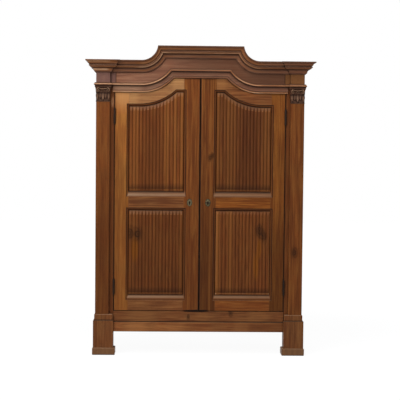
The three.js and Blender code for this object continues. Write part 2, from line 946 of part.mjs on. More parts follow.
// The outline of a door opening, drawn in by its own inset at the foot and the head.
function openingOutline(opening, sideInset, footInset, headInset = sideInset) {
  const outerX = openingOuterX - sideInset;
  const innerX = openingInnerX + sideInset;
  const foot = opening.foot + footInset;
  const head = opening.head - headInset;
  const level = [new THREE.Vector2(outerX, head), new THREE.Vector2(innerX, head)];
  const top = opening.swept ? sweptLine(head, outerX, innerX, panelSweepCentreX) : level;
  return [new THREE.Vector2(innerX, foot), new THREE.Vector2(outerX, foot), ...top];
}

function openingRing(opening, y, ...insets) {
  const outline = openingOutline(opening, ...insets);
  return outline.map((p) => new THREE.Vector3(p.x, y, p.y));
}

// What the moulding plane takes out of the frame round an opening, mitred at its corners. Along the
// foot the moulding is a broad slope.
function openingCutter(opening) {
  const rings = [openingRing(opening, -cutOverrun, 0, 0)];
  doorMouldingShares.forEach(([across, down]) => {
    const insets = [across * mouldingWidth, across * footMouldingWidth];
    rings.push(openingRing(opening, down * mouldingDepth, ...insets));
  });
  const back = doorThickness + cutOverrun;
  rings.push(openingRing(opening, back, mouldingWidth, footMouldingWidth));
  return loft(rings);
}

// The groove that holds a panel.
function grooveCutter(opening) {
  const sideInset = mouldingWidth - panelGrooveDepth;
  const footInset = footMouldingWidth - panelGrooveDepth;
  const outline = openingOutline(opening, sideInset, footInset);
  return board(outline, panelGrooveFront, panelGrooveFront + panelTongue);
}

const openingCutters = [lowerOpening, upperOpening].flatMap((opening) => [
  openingCutter(opening),
  grooveCutter(opening),
]);

// Tenons of one rail, one into each stile, grown by a clearance when they cut their mortise.
function tenons(outerFoot, outerHead, rise, clearance) {
  const y0 = panelGrooveFront + fit - clearance;
  const y1 = panelGrooveFront + panelTongue - fit + clearance;
  const reach = tenonLength + clearance;
  const z0 = outerFoot - clearance;
  const z1 = outerHead + clearance;
  const outer = block(sightOuterX - tenonShoulder, sightOuterX + reach, y0, y1, z0, z1);
  const innerX = sightInnerX - reach;
  const inner = block(innerX, sightInnerX + tenonShoulder, y0, y1, z0 + rise, z1 + rise);
  return [outer, inner];
}

function topTenons(clearance) {
  return tenons(upperOpeningHead, doorTop - tenonShoulder, pedimentRise, clearance);
}

function lockTenons(clearance) {
  return tenons(lowerOpeningHead, upperOpeningFoot, 0, clearance);
}

function bottomTenons(clearance) {
  return tenons(doorFoot + tenonShoulder, lowerOpeningFoot, 0, clearance);
}

function mortises() {
  return [...topTenons(fit), ...lockTenons(fit), ...bottomTenons(fit)];
}

function hangingStile() {
  const stile = block(sightOuterX, doorHingeEdgeX, 0, doorThickness, doorFoot, doorTop);
  return cut(stile, [...openingCutters, ...mortises()]);
}

function meetingStile() {
  const stile = block(meetingHalfGap, sightInnerX, 0, doorThickness, doorFoot, meetingTop);
  return cut(stile, [...openingCutters, ...mortises()]);
}

function railBetween(foot, head, railTenons) {
  const x0 = sightInnerX + fit;
  const x1 = sightOuterX - fit;
  const rail = block(x0, x1, 0, doorThickness, foot, head);
  return joined([cut(rail, openingCutters), ...railTenons]);
}

function bottomRail() {
  return railBetween(doorFoot, lowerOpeningFoot + footMouldingWidth, bottomTenons(0));
}

function lockRail() {
  const foot = lowerOpeningHead - mouldingWidth;
  return railBetween(foot, upperOpeningFoot + footMouldingWidth, lockTenons(0));
}

// The top rail's upper edge follows the fascia, its lower edge the arch of the panel.
function topRail() {
  const x0 = sightInnerX + fit;
  const x1 = sightOuterX - fit;
  const head = sweptLine(doorTop, x1, x0, sweepCentreX);
  const foot = sweptLine(upperOpeningHead - mouldingWidth, x1, x0, panelSweepCentreX);
  const rail = board([...head, ...foot.reverse()], 0, doorThickness);
  return joined([cut(rail, openingCutters), ...topTenons(0)]);
}

// A row of convex reeds side by side, as one block over the whole height of the panel.
function reededBlock(x0, x1, backY, foot, head) {
  const pitch = (x1 - x0) / reedCount;
  const outline = [new THREE.Vector2(x0, backY)];
  for (let i = 0; i < reedCount; i += 1) {
    for (let j = i === 0 ? 0 : 1; j <= reedSteps; j += 1) {
      const across = (j / reedSteps) * 2 - 1;
      const fall = 1 - Math.cos((across * Math.PI) / 2);
      const x = x0 + pitch * (i + j / reedSteps);
      outline.push(new THREE.Vector2(x, reedRecess + reedDepth * fall));
    }
  }
  outline.push(new THREE.Vector2(x1, backY));
  return upright(outline, foot, head);
}

// A reeded panel: its tongue sits in the groove, and the bevel round its field cuts the reeds' ends
// to a row of noses.
function reededPanel(opening) {
  const tongueReach = panelGrooveDepth - panelPlay;
  const tongueFront = panelGrooveFront + fit;
  const tongueBack = panelGrooveFront + panelTongue - fit;
  const tongueInsets = [mouldingWidth - tongueReach, footMouldingWidth - tongueReach];
  const tongue = board(openingOutline(opening, ...tongueInsets), tongueFront, tongueBack);
  const fieldInset = mouldingWidth + fieldGap;
  const fieldFoot = footMouldingWidth + fieldGap;
  const backY = (tongueFront + tongueBack) / 2;
  const bevelFoot = reedRecess + reedDepth + fit;
  const x0 = openingInnerX + fieldInset;
  const x1 = openingOuterX - fieldInset;
  const head = opening.head + (opening.swept ? pedimentRise : 0);
  const reeds = reededBlock(x0, x1, backY, opening.foot, head);
  const crest = [fieldInset + fieldSideRun, fieldFoot + fieldFootRun, fieldInset + fieldHeadRun];
  const envelope = loft([
    openingRing(opening, reedRecess - fit, ...crest),
    openingRing(opening, bevelFoot, fieldInset, fieldFoot),
    openingRing(opening, backY + cutOverrun, fieldInset, fieldFoot),
  ]);
  return joined([tongue, reeds.intersect(envelope)]);
}

// The half-round bead that covers the meeting edge of the right door.
function meetingBead() {
  const x1 = meetingHalfGap + meetingBeadWidth;
  const outline = [new THREE.Vector2(x1, reedRecess), new THREE.Vector2(meetingHalfGap, reedRecess)];
  for (let i = 0; i <= meetingBeadSteps; i += 1) {
    const turn = (Math.PI * i) / meetingBeadSteps;
    const x = meetingHalfGap + (meetingBeadWidth * (1 - Math.cos(turn))) / 2;
    outline.push(new THREE.Vector2(x, -meetingBeadProud * Math.sin(turn)));
  }
  return upright(outline, doorFoot, meetingTop);
}

function keyholeCutter(centreX) {
  const back = doorThickness + cutOverrun;
  const front = -cutOverrun;
  const slotHalf = keyholeSlotHalfWidth;
  const slotFoot = lockHeight - keyholeDrop;
  return joined([
    rod(centreX, lockHeight, keyholeRadius, front, back, keySides),
    block(centreX - slotHalf, centreX + slotHalf, front, back, slotFoot, lockHeight),
  ]);
}

function rightMeetingStile() {
  return joined([meetingStile(), meetingBead()]).subtract(keyholeCutter(rightKeyholeX));
}

// The plan of a door bolt, wider at its front so that the groove holds it.
function doorBoltPlan(centreX, clearance) {
  const half = doorBoltHalfWidth + clearance;
  const neck = half - doorBoltTaper;
  const front = doorThickness - doorBoltSunk - clearance;
  const back = doorThickness - doorBoltSunk + doorBoltDepth + clearance;
  const sunkBack = doorThickness - clearance;
  return [
    [centreX - half, front],
    [centreX + half, front],
    [centreX + neck, sunkBack],
    [centreX + neck, back],
    [centreX - neck, back],
    [centreX - neck, sunkBack],
  ].map(([x, y]) => new THREE.Vector2(x, y));
}

// The places of the two door bolts along the meeting stile, drawn back.
const topBoltHead = meetingTop - doorBoltInset;
const topBoltFoot = topBoltHead - doorBoltLength;
const bottomBoltFoot = doorFoot + doorBoltInset;
const bottomBoltHead = bottomBoltFoot + doorBoltLength;

// The left stile's back has a dovetail groove for each bolt, open at the door's edge.
function leftMeetingStile() {
  const groove = doorBoltPlan(doorBoltX, runningGap);
  const topGroove = upright(groove, topBoltFoot - runningGap, meetingTop + cutOverrun);
  const bottomGroove = upright(groove, doorFoot - cutOverrun, bottomBoltHead + runningGap);
  return cut(meetingStile(), [topGroove, bottomGroove]);
}

function doorBolt(foot, head, knobZ) {
  const knobY = doorThickness + doorBoltKnobReach;
  const barBack = doorThickness - doorBoltSunk + doorBoltDepth;
  const knob = new THREE.SphereGeometry(doorBoltKnobRadius, keySides, roundSteps + roundSteps);
  knob.translate(doorBoltX, knobY, knobZ);
  const neckFront = barBack - doorBoltTaper;
  return joined([
    upright(doorBoltPlan(doorBoltX, 0), foot, head),
    rod(doorBoltX, knobZ, doorBoltNeckRadius, neckFront, knobY, keySides),
    solidFrom(knob),
  ]);
}

// Hinges, drawn with the pin's axis at the origin and the joint between the halves at Z = 0

function hingeLeaf(nearX, foot, head) {
  const backY = hingeAxisProud + hingeLeafDepth;
  return block(nearX, nearX + hingeLeafThickness, 0, backY, foot, head);
}

// The half on the post: the lower knuckle with its finial, and the pin that rises from it.
function hingePostHalf() {
  const jointZ = -fit;
  const pinTop = knuckleLength - runningGap;
  const foot = -knuckleLength;
  const core = turned(
    [
      [0, foot - hingeFinialLength],
      [hingePinRadius, foot - hingeFinialLength + hingePinRadius],
      [hingePinRadius + runningGap, foot - hingePinRadius],
      [knuckleRadius, foot],
      [knuckleRadius, jointZ],
      [hingePinRadius, jointZ],
      [hingePinRadius, pinTop],
      [0, pinTop],
    ],
    hingeSides,
  );
  const postFace = doorwayHalfWidth - hingeAxisX - fit - hingeLeafThickness;
  return joined([core, hingeLeaf(postFace, foot, jointZ)]);
}

// The half on the door: the upper knuckle, closed by its finial, and a leaf on the door's edge.
function hingeDoorHalf() {
  const bore = hingePinRadius + runningGap;
  const head = knuckleLength + hingePinRadius;
  const tip = knuckleLength + hingeFinialLength;
  const core = turned(
    [
      [bore, 0],
      [knuckleRadius, 0],
      [knuckleRadius, knuckleLength],
      [bore, head],
      [hingePinRadius, tip - hingePinRadius],
      [0, tip],
      [0, knuckleLength],
      [bore, knuckleLength],
      [bore, 0],
    ],
    hingeSides,
  );
  const doorFace = doorHingeEdgeX - hingeAxisX + fit;
  const boreRoom = rodUpright(bore, -cutOverrun, knuckleLength);
  const leafPart = hingeLeaf(doorFace, 0, knuckleLength);
  return joined([core, leafPart.subtract(boreRoom)]);
}

function rodUpright(radius, foot, head) {
  return turned(
    [
      [0, foot],
      [radius, foot],
      [radius, head],
      [0, head],
    ],
    hingeSides,
  );
}

// Escutcheons, key and lock

function escutcheon(centreX) {
  const shape = new THREE.Shape();
  shape.absellipse(centreX, lockHeight, escutcheonHalfWidth, escutcheonHalfHeight, 0, 2 * Math.PI);
  const points = shape.getSpacedPoints(escutcheonSides).slice(0, escutcheonSides);
  const plate = board(points, -escutcheonThickness - fit, -fit);
  return plate.subtract(keyholeCutter(centreX));
}

// The key, its bow level as it is half turned in the lock.
function key() {
  const bow = new THREE.TorusGeometry(keyBowRadius, keyBowWire, roundSteps * 2, keySides + keySides);
  bow.translate(rightKeyholeX, -keyReach, lockHeight);
  const shankFront = keyBowRadius - keyReach;
  const shankBack = lockBoltFrontY + lockBoltThickness + runningGap + keyBitHeight;
  const bitBack = shankBack - runningGap;
  const collarBack = -escutcheonThickness - fit - fit;
  const half = keyBitThickness / 2;
  return joined([
    solidFrom(bow),
    rod(rightKeyholeX, lockHeight, keyShankRadius, shankFront, shankBack, keySides),
    rod(
      rightKeyholeX,
      lockHeight,
      keyCollarRadius,
      collarBack - keyCollarLength,
      collarBack,
      keySides,
    ),
    block(
      rightKeyholeX,
      rightKeyholeX + keyBitLength,
      bitBack - keyBitHeight + runningGap,
      bitBack,
      lockHeight - half,
      lockHeight + half,
    ),
  ]);
}

function lockBoltBlock(clearance, x0, x1) {
  const y0 = lockBoltFrontY - clearance;
  const y1 = lockBoltFrontY + lockBoltThickness + clearance;
  const z0 = lockBoltFoot - clearance;
  return block(x0, x1, y0, y1, z0, lockBoltFoot + lockBoltHeight + clearance);
}

function lockBolt() {
  const x0 = lockCaseEdge + runningGap;
  return lockBoltBlock(0, x0, x0 + lockBoltLength);
}

// The lock's iron case, open towards the door and slotted for the bolt.
function lockCase() {
  const x1 = lockCaseEdge + lockCaseWidth;
  const y0 = doorThickness + fit;
  const y1 = y0 + lockCaseDepth;
  const half = lockCaseHeight / 2;
  const w = lockCaseWall;
  const shell = block(lockCaseEdge, x1, y0, y1, lockHeight - half, lockHeight + half);
  const room = block(
    lockCaseEdge + w,
    x1 - w,
    y0 - cutOverrun,
    y1 - w,
    lockHeight - half + w,
    lockHeight + half - w,
  );
  const slot = lockBoltBlock(runningGap, lockCaseEdge - cutOverrun, lockCaseEdge + cutOverrun);
  return cut(shell, [room, slot]);
}

// Materials

function wood(color) {
  return new THREE.MeshStandardMaterial({ color, roughness: 0.5, metalness: 0 });
}

function metal(color, roughness) {
  return new THREE.MeshStandardMaterial({ color, roughness, metalness: 1 });
}

const frameColour = 0x7a4522;
const doorColour = 0x824a20;
const panelColour = 0x6f3f1f;
const corniceColour = 0x5e3a26;
const innerColour = 0x9a7347;
const ironColour = 0x35302c;
const brassColour = 0x8a7a45;

// Assembly

const group = new THREE.Group();
group.position.y = (frontReach - caseDepth) / 2;

function addMesh(parent, name, solid, material) {
  const mesh = new THREE.Mesh(geometryOf(solid), material);
  mesh.name = name;
  parent.add(mesh);
  return mesh;
}

// One piece on each side of the cupboard, from the solid drawn on the right.
function addPair(parent, before, after, solid, color) {
  addMesh(parent, before + "right" + after, solid, wood(color));
  addMesh(parent, before + "left" + after, mirrored(solid), wood(color));
}

function addCase() {
  const carcass = new THREE.Group();
  group.add(carcass);
  addPair(carcass, "front_", "_foot", foot(), frameColour);
  addPair(carcass, "front_", "_post", frontPost(), frameColour);
  addPair(carcass, "rear_", "_post", rearPost(), frameColour);
  addPair(carcass, "", "_pilaster", pilaster(), frameColour);
  addPair(carcass, "", "_capital", capital(), corniceColour);
  addPair(carcass, "", "_side_top_rail", sideTopRail(), frameColour);
  addPair(carcass, "", "_side_bottom_rail", sideBottomRail(), frameColour);
  addPair(carcass, "", "_side_panel", sidePanel(), panelColour);
  addMesh(carcass, "apron", apron(), wood(frameColour));
  addMesh(carcass, "sill_rail", sillRail(), wood(frameColour));
  addMesh(carcass, "bottom_board", bottomBoard(), wood(innerColour));
  addMesh(carcass, "top_board", topBoard(), wood(innerColour));
  addMesh(carcass, "frieze_board", friezeBoard(), wood(corniceColour));
  addMesh(carcass, "architrave_moulding", architraveMoulding(), wood(corniceColour));
  addMesh(carcass, "cornice_front", corniceFront(), wood(corniceColour));
  addMesh(carcass, "cornice_right", corniceReturn(), wood(corniceColour));
  addMesh(carcass, "cornice_left", mirrored(corniceReturn()), wood(corniceColour));
  for (let i = 0; i < shelfCount; i += 1) {
    const made = addMesh(carcass, "shelf_" + (i + 1), shelf(), wood(innerColour));
    made.position.z = shelfTop(i);
  }
  for (let i = 0; i < backBoardCount; i += 1) {
    const made = addMesh(carcass, "back_board_" + (i + 1), backBoard(), wood(innerColour));
    made.position.x = fit - rearPostInnerX + (backBoardWidth() + fit) * i;
  }
}

function addHinge(side, level, height) {
  const pair = new THREE.Group();
  pair.position.set(side * hingeAxisX, -hingeAxisProud, height);
  group.add(pair);
  const name = (side > 0 ? "right_" : "left_") + level + "_hinge_";
  const place = side > 0 ? (solid) => solid : mirrored;
  addMesh(pair, name + "post_half", place(hingePostHalf()), metal(ironColour, 0.6));
  addMesh(pair, name + "door_half", place(hingeDoorHalf()), metal(ironColour, 0.6));
}

// A door, its group standing on its hinge axis.
function addDoor(side, stile) {
  const axisX = side * hingeAxisX;
  const door = new THREE.Group();
  door.position.set(axisX, -hingeAxisProud, 0);
  group.add(door);
  const name = side > 0 ? "right_" : "left_";
  const place = side > 0 ? (solid) => solid : mirrored;
  const hang = (part, solid, material) =>
    addMesh(door, name + part, moved(place(solid), -axisX, hingeAxisProud, 0), material);
  hang("hanging_stile", hangingStile(), wood(doorColour));
  hang("meeting_stile", stile, wood(doorColour));
  hang("top_rail", topRail(), wood(doorColour));
  hang("lock_rail", lockRail(), wood(doorColour));
  hang("bottom_rail", bottomRail(), wood(doorColour));
  hang("upper_panel", reededPanel(upperOpening), wood(panelColour));
  hang("lower_panel", reededPanel(lowerOpening), wood(panelColour));
  const keyholeX = side > 0 ? rightKeyholeX : leftKeyholeX;
  hang("escutcheon", escutcheon(keyholeX), metal(brassColour, 0.5));
  addHinge(side, "upper", upperHingeHeight);
  addHinge(side, "lower", lowerHingeHeight);
  return hang;
}

addCase();
const hangOnRight = addDoor(1, rightMeetingStile());
hangOnRight("lock_case", lockCase(), metal(ironColour, 0.6));
hangOnRight("lock_bolt", lockBolt(), metal(ironColour, 0.5));
hangOnRight("lock_key", key(), metal(brassColour, 0.45));
const hangOnLeft = addDoor(-1, leftMeetingStile());
const topKnobZ = topBoltFoot + doorBoltTravel;
const bottomKnobZ = bottomBoltHead - doorBoltTravel;
hangOnLeft("top_bolt", doorBolt(topBoltFoot, topBoltHead, topKnobZ), metal(ironColour, 0.5));
hangOnLeft(
  "bottom_bolt",
  doorBolt(bottomBoltFoot, bottomBoltHead, bottomKnobZ),
  metal(ironColour, 0.5),
);

export default group;
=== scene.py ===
"""Looks of a walnut kas cupboard: its mouldings, reeded panels, carved capitals, fittings and finishes.

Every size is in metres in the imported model's own frame: +Z up, the doors towards -Y, the floor at Z = 0.
"""
import json
import math

import bpy
import numpy as np
from bpy.props import FloatProperty, FloatVectorProperty, IntProperty, PointerProperty
from mathutils import Matrix, Vector

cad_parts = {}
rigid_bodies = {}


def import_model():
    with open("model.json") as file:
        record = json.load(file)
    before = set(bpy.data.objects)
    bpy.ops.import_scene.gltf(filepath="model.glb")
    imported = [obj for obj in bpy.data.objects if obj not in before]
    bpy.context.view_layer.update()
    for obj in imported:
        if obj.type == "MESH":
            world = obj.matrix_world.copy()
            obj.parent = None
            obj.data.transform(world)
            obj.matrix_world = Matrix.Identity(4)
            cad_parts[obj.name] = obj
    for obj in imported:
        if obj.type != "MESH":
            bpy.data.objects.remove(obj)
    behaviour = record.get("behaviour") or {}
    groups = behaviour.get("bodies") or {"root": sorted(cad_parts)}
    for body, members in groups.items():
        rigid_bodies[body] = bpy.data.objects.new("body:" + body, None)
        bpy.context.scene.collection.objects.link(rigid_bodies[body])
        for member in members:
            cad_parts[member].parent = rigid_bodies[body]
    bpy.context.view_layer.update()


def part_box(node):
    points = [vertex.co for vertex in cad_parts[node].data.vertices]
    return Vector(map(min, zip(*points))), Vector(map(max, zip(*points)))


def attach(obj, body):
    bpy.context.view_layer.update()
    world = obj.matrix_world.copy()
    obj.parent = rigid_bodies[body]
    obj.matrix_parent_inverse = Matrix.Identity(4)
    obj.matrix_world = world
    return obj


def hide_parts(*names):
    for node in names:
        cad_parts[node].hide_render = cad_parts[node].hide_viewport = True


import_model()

bl_info = {
    "name": "Kas Cupboard",
    "version": (1, 0, 0),
    "blender": (4, 5, 0),
    "location": "3D View > Sidebar > Kas",
    "description": "Carved, moulded and finished pieces of a walnut kas cupboard",
    "category": "Object",
}

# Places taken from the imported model
FACE_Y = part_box("front_left_post")[0].y  # front face of the corner posts
CASE_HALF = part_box("front_right_post")[1].x
BACK_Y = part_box("rear_right_post")[1].y
PILASTER_X0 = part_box("right_pilaster")[0].x
PILASTER_PROUD = FACE_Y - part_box("right_pilaster")[0].y
FIT = 0.0003  # gap that pieces keep where they touch


# ---------------------------------------------------------------- sizes and colours

def length(label, note, value):
    return FloatProperty(name=label, description=note, default=value, unit="LENGTH")


def share(label, note, value):
    return FloatProperty(name=label, description=note, default=value, min=0, max=1, subtype="FACTOR")


def count(label, note, value):
    return IntProperty(name=label, description=note, default=value, min=1)


def colour(label, note, value):
    return FloatVectorProperty(
        name=label, description=note, default=value, size=3, min=0, max=1, subtype="COLOR"
    )


class KasSweepSizes(bpy.types.PropertyGroup):
    start: length("Sweep start", "Distance from the middle where the front's lines begin to rise", 0.406)
    panel_start: length("Panel arch start", "The same for the arch of the door panels", 0.421)
    top_height: length("Top height", "Height of the cornice's top edge beside the sweep", 2.0365)
    top_radius: length("Top radius", "Radius of that edge's arc", 0.112)
    growth: share("Radius growth", "How much a line's radius grows for each length that it lies lower", 0.86)
    rise: length("Rise", "How far the sweep lifts a line in the middle", 0.1)


class KasMouldingSizes(bpy.types.PropertyGroup):
    cornice_foot: length("Cornice foot", "Height of the cornice's lower edge", 1.9525)
    cornice_height: length("Cornice height", "Height of the cornice's profile", 0.084)
    cornice_reach: length("Cornice reach", "How far the cornice stands out", 0.07)
    bead_foot: length("Bead foot", "Height of the lower edge of the architrave's bead", 1.8608)
    bead_height: length("Bead height", "Height of the architrave's bead", 0.0227)
    bead_reach: length("Bead reach", "How far the bead stands out", 0.015)
    fascia_foot: length("Fascia foot", "Height of the fascia's lower edge over the doors", 1.8198)
    fascia_reach: length("Fascia reach", "How far the fascia stands out", 0.009)
    fascia_end: length("Fascia end", "Distance from the middle where the fascia ends", 0.604)
    opening_width: length("Opening moulding", "Width of the moulding round a door opening", 0.016)


class KasReedSizes(bpy.types.PropertyGroup):
    number: count("Reeds", "Number of reeds across a panel", 16)
    crest: length("Crest depth", "From the door's face back to the crest of a reed", 0.004)
    depth: length("Reed depth", "From a crest to the valley beside it", 0.006)
    head_run: length("Head run", "Length of the bevel that cuts the reeds' heads to noses", 0.030)
    foot_run: length("Foot run", "Length of the bevel at the reeds' feet", 0.020)
    side: length("Side run", "Width of the bevel along a panel's sides", 0.003)
    inset: length("Field inset", "From the edge of the door opening to the reeded field", 0.018)
    tongue: length("Tongue inset", "From the edge of the door opening to the edge of the tongue", 0.005)
    foot_step: length("Foot step", "How much further in both lie at the foot, inside its broad slope", 0.020)


class KasCapitalSizes(bpy.types.PropertyGroup):
    foot: length("Capital foot", "Height of the lower edge of a capital", 1.7518)
    head: length("Capital head", "Height of its upper edge", 1.8602)
    volute: length("Volute radius", "Outer radius of a scroll", 0.0175)
    turns: FloatProperty(name="Volute turns", description="Turns of a scroll", default=1.9, min=1)
    leaf: length("Leaf lift", "How far a leaf stands off the bell", 0.009)
    eyelet: length("Eyelet radius", "Radius of the two pierced rings in the middle", 0.0062)


class KasFittingSizes(bpy.types.PropertyGroup):
    lock_height: length("Lock height", "Height of the two keyholes", 1.0615)
    left_keyhole: length("Left keyhole", "Its distance left of the middle", 0.069)
    right_keyhole: length("Right keyhole", "Its distance right of the middle", 0.058)
    plate_width: length("Plate half width", "Half the width of an escutcheon", 0.0185)
    plate_height: length("Plate half height", "Half the height of an escutcheon", 0.0265)
    bow: length("Bow radius", "Radius of the key's bow, to the middle of its wire", 0.013)
    wire: length("Bow wire", "Radius of the bow's wire", 0.0026)


class KasWalnutColours(bpy.types.PropertyGroup):
    honey: colour("Honey", "Sapwood of the palest stile", (0.30, 0.108, 0.022))
    tan: colour("Tan", "Faded top rail", (0.30, 0.136, 0.050))
    amber: colour("Amber", "Warm brown walnut", (0.22, 0.070, 0.012))
    russet: colour("Russet", "Red-brown walnut", (0.155, 0.048, 0.010))
    umber: colour("Umber", "Dark walnut", (0.105, 0.032, 0.007))
    drab: colour("Drab", "Dulled walnut of the feet and lower rails", (0.155, 0.056, 0.017))
    plum: colour("Plum", "Purple-brown walnut of the cornice", (0.150, 0.068, 0.038))
    # Rubbed also colours the painted highlights on beads, lips and noses, besides real rubbing.
    rubbed: colour("Rubbed", "Arrises and beads rubbed pale", (0.46, 0.270, 0.155))
    # Painted sheen as well as dust: surfaces that face up take this colour, standing in for the sheen of the light from
    # above.
    dust_and_sheen: colour("Dust", "Dulled wax on surfaces that face up", (0.27, 0.155, 0.088))
    # Painted shade as well as old wax and dirt: hollows, corners, down-facing surfaces and shadow pits take this
    # colour, and so do pores and joints.
    grime_and_shade: colour("Grime", "Old wax and dirt in the hollows", (0.010, 0.005, 0.003))
    inside: colour("Inside", "Unpolished wood of the inside and back", (0.26, 0.140, 0.062))
    loose_dust: colour("Loose dust", "Dust on the unpolished wood", (0.30, 0.24, 0.18))
    # Painted shade: the inside takes this colour where ambient occlusion finds a corner.
    corners: colour("Corners", "Dirt in the corners of the inside", (0.05, 0.03, 0.018))
    scuffs: colour("Scuffs", "Bare wood low on the feet", (0.175, 0.098, 0.05))


class KasMetalColours(bpy.types.PropertyGroup):
    iron: colour("Iron", "Blackened iron of hinges, key and lock", (0.010, 0.006, 0.004))
    rust: colour("Rust", "Rust on the iron", (0.040, 0.016, 0.007))
    brass: colour("Brass", "Aged brass of the escutcheons", (0.20, 0.155, 0.075))
    patina: colour("Patina", "Green-brown film on the brass", (0.040, 0.033, 0.015))
    # Painted shade: the keyhole's edge and the plate's rim take this colour.
    keyhole: colour("Keyhole", "The deepest hollows of the brass", (0.01, 0.008, 0.005))


class KasStageSizes(bpy.types.PropertyGroup):
    camera_x: length("Camera across", "Camera's place to the right of the middle", -0.207)
    camera_y: length("Camera distance", "Camera's place behind the origin", -8.0)
    camera_z: length("Camera height", "Camera's height over the floor", 1.4303)
    yaw: FloatProperty(name="Yaw", description="Turn to the right", default=0.0270, subtype="ANGLE")
    pitch: FloatProperty(name="Pitch", description="Tilt upwards", default=-0.0450, subtype="ANGLE")
    roll: FloatProperty(name="Roll", description="Turn about the view", default=0.0096, subtype="ANGLE")
    lens: FloatProperty(name="Lens", description="Focal length for a 36 mm frame", default=101.22)
    key_power: FloatProperty(name="Key light", description="Power in watts", default=165.0)
    fill_power: FloatProperty(name="Fill light", description="Power in watts", default=32.0)
    top_power: FloatProperty(name="Top light", description="Power in watts", default=90.0)


GROUPS = {
    "kas_sweep": KasSweepSizes,
    "kas_moulding": KasMouldingSizes,
    "kas_reeds": KasReedSizes,
    "kas_capital": KasCapitalSizes,
    "kas_fittings": KasFittingSizes,
    "kas_walnut": KasWalnutColours,
    "kas_metal": KasMetalColours,
    "kas_stage": KasStageSizes,
}


# ---------------------------------------------------------------- meshes from arrays

def round_turn(count):
    """Angles of even steps once round."""
    return np.linspace(0, math.tau, count, endpoint=False)


def grid_quads(rows, columns, rows_close, columns_close):
    """Quads between neighbouring points of a grid, which may close into a ring either way."""
    i = np.arange(rows if rows_close else rows - 1)[:, None]
    j = np.arange(columns if columns_close else columns - 1)[None, :]
    m, k = (i + 1) % rows, (j + 1) % columns
    return np.stack([i * columns + j, i * columns + k, m * columns + k, m * columns + j], -1).reshape(-1, 4)


def ring_faces(rows, columns):
    """Quads between neighbouring rows of a grid whose columns close into a ring, and its two end caps."""
    foot, head = np.arange(columns)[::-1], np.arange(columns) + (rows - 1) * columns
    return grid_quads(rows, columns, False, True), [foot.tolist(), head.tolist()]


def encloses(points, quads):
    """Signed volume that the quads enclose: a sum of a . (b x c) over their two halves, about their middle."""
    p = points - points.mean(0)
    a, b, c, d = (p[quads[:, n]] for n in range(4))
    return float((np.einsum("ij,ij->i", a, np.cross(b, c)) + np.einsum("ij,ij->i", a, np.cross(c, d))).sum())


def solid(name, patches, hollows=None, pales=None, angle=38):
    """One closed object from patches, each an array of rows x ring points x 3 whose ends are capped.

    hollows holds, for each patch, how deep in a hollow each point lies, from 0 to 1; the finish darkens there as
    painted shade. pales holds how pale the wood is painted there, for rubbed wear and painted highlights: up to a
    half it turns amber, and above that pale; below nothing it takes the dust-and-sheen colour, a painted sheen.
    """
    points, faces, marks, first = [], [], {"hollow": [], "pale": []}, 0
    for n, patch in enumerate(patches):
        rows, columns = patch.shape[:2]
        flat = patch.reshape(-1, 3)
        quads, caps = ring_faces(rows, columns)
        if encloses(flat, quads) < 0:
            quads, caps = quads[:, ::-1], [cap[::-1] for cap in caps]
        faces += (quads + first).tolist() + [[v + first for v in cap] for cap in caps]
        points.append(flat)
        for key, given in (("hollow", hollows), ("pale", pales)):
            values = given[n] if given else np.zeros((rows, columns))
            marks[key].append(np.broadcast_to(values, (rows, columns)).reshape(-1))
        first += len(flat)
    mesh = bpy.data.meshes.new(name)
    mesh.from_pydata(np.concatenate(points).tolist(), [], faces)
    return linked(name, mesh, angle, {key: np.concatenate(values) for key, values in marks.items()})


def linked(name, mesh, angle, marks):
    """An object of the mesh, smooth between its sharp edges, with one value a point for each mark."""
    mesh.shade_smooth()
    mesh.set_sharp_from_angle(angle=math.radians(angle))
    for key, values in marks.items():
        made = mesh.attributes.new(key, "FLOAT", "POINT")
        made.data.foreach_set("value", np.ascontiguousarray(values, np.float32))
    made = bpy.data.objects.new(name, mesh)
    bpy.context.scene.collection.objects.link(made)
    return made


def annulus(name, grid, marks):
    """A closed ring-shaped object: the grid's rows run from the hole to the rim and back underneath."""
    flat = grid[:-1].reshape(-1, 3)
    quads = grid_quads(grid.shape[0] - 1, grid.shape[1], True, True)
    if encloses(flat, quads) < 0:
        quads = quads[:, ::-1]
    mesh = bpy.data.meshes.new(name)
    mesh.from_pydata(flat.tolist(), [], quads.tolist())
    return linked(name, mesh, 40, {key: values[:-1].reshape(-1) for key, values in marks.items()})


def arc_radius(low):
    """Radius of the arc of the line that runs at height low beside the sweep."""
    s = bpy.context.scene.kas_sweep
    return s.top_radius + s.growth * (s.top_height - low)


def place(made, body, slot, *nodes):
    """The piece moves with a body and stands for CAD nodes, which it hides; slot is not used."""
    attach(made, body)
    if nodes:
        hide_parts(*nodes)
    return made


def smooth_curve(knots, steps):
    """Points on a curve through the knots: a cubic between each two, its slope taken from their neighbours."""
    p = np.array(knots, float)
    q = np.concatenate([[2 * p[0] - p[1]], p, [2 * p[-1] - p[-2]]])
    t = np.linspace(0, 1, steps, endpoint=False)[:, None]
    a, b, c, d = (q[i : len(p) - 1 + i, None] for i in range(4))
    curve = 0.5 * (2 * b + (c - a) * t + (2 * a - 5 * b + 4 * c - d) * t**2 + (3 * b - a - 3 * c + d) * t**3)
    return np.concatenate([curve.reshape(-1, p.shape[1]), p[-1:]])


def swept(low, x, start):
    """Height at x of a swept line: low outside the arc, then low + r - sqrt(r^2 - d^2), where r is the line's
    radius and d how far x lies inside the arc's start, and never more than low + rise."""
    r = arc_radius(low)
    run = np.sqrt(r**2 - (r - bpy.context.scene.kas_sweep.rise) ** 2)
    d = np.clip(start - np.abs(x), 0, run)
    return low + r - np.sqrt(r**2 - d**2)


def bands(where, marks):
    """Sum of amount times e^-((where - centre) / half)^2 over marks of (centre, half, amount)."""
    return np.clip(sum(amount * np.exp(-(((where - centre) / half) ** 2)) for centre, half, amount in marks), 0, 1)


